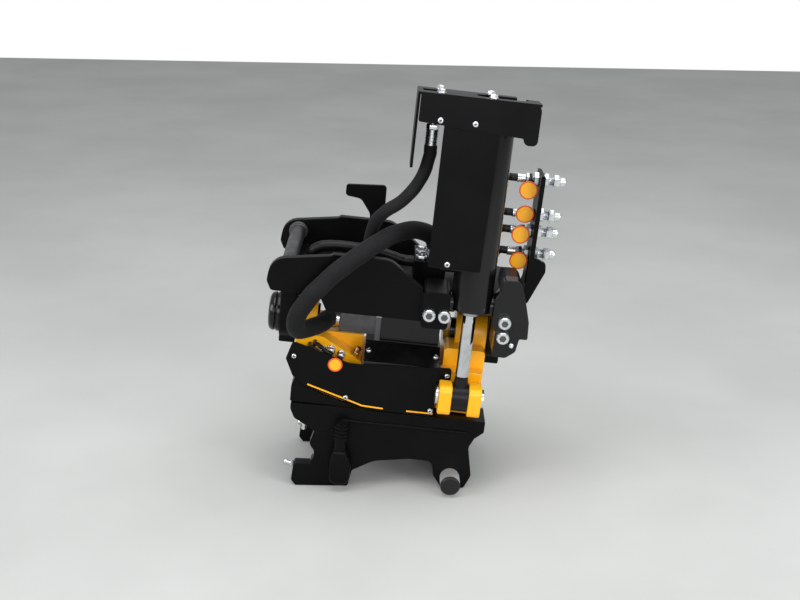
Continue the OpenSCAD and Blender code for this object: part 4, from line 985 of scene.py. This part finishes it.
# Hose ends: crimped ferrules over the sleeves
bm = bmesh.new()
add_ring(bm, [(17.4, 0), (19.4, 0.6), (19.4, 12), (18.8, 12.6), (18.8, 14), (19.4, 14.6), (19.4, 24),
              (18.4, 26), (17.4, 26)], spot(*MAIN_HOSE_XY, MANIFOLD_TOP + HOSE_GAP))
add_hex(bm, 44.0, 6.0, spot(*MAIN_HOSE_XY, MANIFOLD_TOP + SEAT))
add_ring(bm, [(12, 0), (14, 0.6), (14, 9), (13.4, 9.6), (13.4, 11), (14, 11.6), (14, 20), (13.2, 22),
              (12, 22)], spot(*CYLINDER_HOSE_XY, BASE_TOP + HOSE_GAP), 28)
for y in (-48, -8):
    place = spot(26, y, MANIFOLD_TOP + SEAT)
    add_hex(bm, 22.0, 9.0, place)
    add_lathe(bm, [(7, 9), (8, 9.6), (8, 15), (6, 17)], place)
dress(bm, "FrameHoseEnds", [ZINC], STAND, "upper_frame", "zinc")

bm = bmesh.new()
add_ring(bm, [(17, 0), (19.4, 0.6), (19.4, 7), (18.8, 7.6), (18.8, 9), (19.4, 9.6), (19.4, 15),
              (18.4, 16.6), (17, 16.6)], spot(VALVE_X0 - HOSE_GAP, *VALVE_PORT_YZ) @ TO_LEFT)
dress(bm, "ValveHoseEnd", [ZINC], STAND, "rotor_housing", "zinc")

# Socket screws on top of the valve block
VALVE_SCREW_XY = ((-110, -26), (-110, 26), (-62, -26), (-62, 26))
bm = bmesh.new()
for x, y in VALVE_SCREW_XY:
    add_socket_screw(bm, spot(x, y, VALVE_TOP), *VALVE_SCREW)
dress(bm, "ValveScrews", [ZINC, DARK_STEEL_AND_SOCKET_SHADE], STAND, "rotor_housing", "zinc")


def add_strip(bm, points, width, thick):
    """Flat strip along points in x and z, standing proud of the plane y = 0 towards the near side."""
    sides = []
    for i, (x, z) in enumerate(points):
        before, after = points[max(0, i - 1)], points[min(len(points) - 1, i + 1)]
        across = Vector((after[1] - before[1], 0, before[0] - after[0])).normalized() * width / 2
        middle = Vector((x, 0, z))
        sides.append((middle + across, middle - across))
    front, back = Vector((0, -thick, 0)), Vector((0, 0, 0))
    rings = [[bm.verts.new(p) for p in (a + back, a + front, b + front, b + back)] for a, b in sides]
    bm.faces.new(rings[0])
    bm.faces.new(rings[-1][::-1])
    for low, high in zip(rings, rings[1:]):
        for k in range(4):
            m = (k + 1) % 4
            bm.faces.new((low[k], high[k], high[m], low[m]))


# Yellow line along the lower edge of the side cover, in two runs
TRIM_RUNS = (((-172, -102), (-76, -131), (-60, -136), (-18, -138)), ((29, -138), (82, -138)))
TRIM_WIDTH = 3.0
TRIM_THICK = 0.5
bm = bmesh.new()
for run in TRIM_RUNS:
    add_strip(bm, run, TRIM_WIDTH, TRIM_THICK)
dress(bm, "CoverTrim", [YELLOW], STAND @ spot(0, COVER_FACE - MARK_GAP, 0), "rotor_housing", "yellow_paint")

# Round marker on the side cover
MARKER_XZ = (-121, -55)
MARKER_R = 14.5
bm = bmesh.new()
place = spot(MARKER_XZ[0], COVER_FACE - MARK_GAP, MARKER_XZ[1]) @ TO_NEAR
add_lathe(bm, [(MARKER_R - 3, 0), (MARKER_R - 3, 0.8)], place, 40, 0)
add_ring(bm, [(MARKER_R - 3.2, 0), (MARKER_R, 0), (MARKER_R, 0.8), (MARKER_R - 0.3, 1.1),
              (MARKER_R - 2.9, 1.1), (MARKER_R - 3.2, 0.9)], place, 40, 1)
dress(bm, "CoverMarker", [TAG_FACE, TAG_RIM], STAND, "rotor_housing", "tag")


def weld_bead(name, start, end, radius, body):
    """Painted weld: a rippled half-sunk bead between two points of the stand's frame."""
    start, end = Vector(start), Vector(end)
    ripple = 5.0

    def swell(along, angle, total):
        tail = min(1.0, along / 4.0 + 0.3, (total - along) / 4.0 + 0.3)
        return tail * (1.0 + 0.1 * math.sin(2 * math.pi * (along + 0.8 * math.cos(angle)) / ripple))

    count = max(2, int((end - start).length / (ripple / 5)))
    points = [start.lerp(end, i / count) for i in range(count + 1)]
    bead, _, _ = hose_mesh(name, points, 2 * radius, BLACK, 1, 12, swell)
    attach(bead, body)


for name, y in (("DeckWeldNear", -HITCH_Y - 0.5), ("DeckWeldFar", HITCH_Y + 0.5)):
    start, end = [(x, y, DECK_WELD_Z) for x in DECK_WELD_X]
    weld_bead(name, start, end, 3.0, "lower_hitch")
weld_bead("ArmWeld", (34, -150.5, 66), (34, -150.5, 120), 2.6, "upper_frame")
weld_bead("BracketWeld", (236, -62, 132), (236, -62, 186), 2.2, "upper_frame")
weld_bead("FrontHangerWeld", (-227, -75, 94.5), (-227, 75, 94.5), 3.0, "upper_frame")
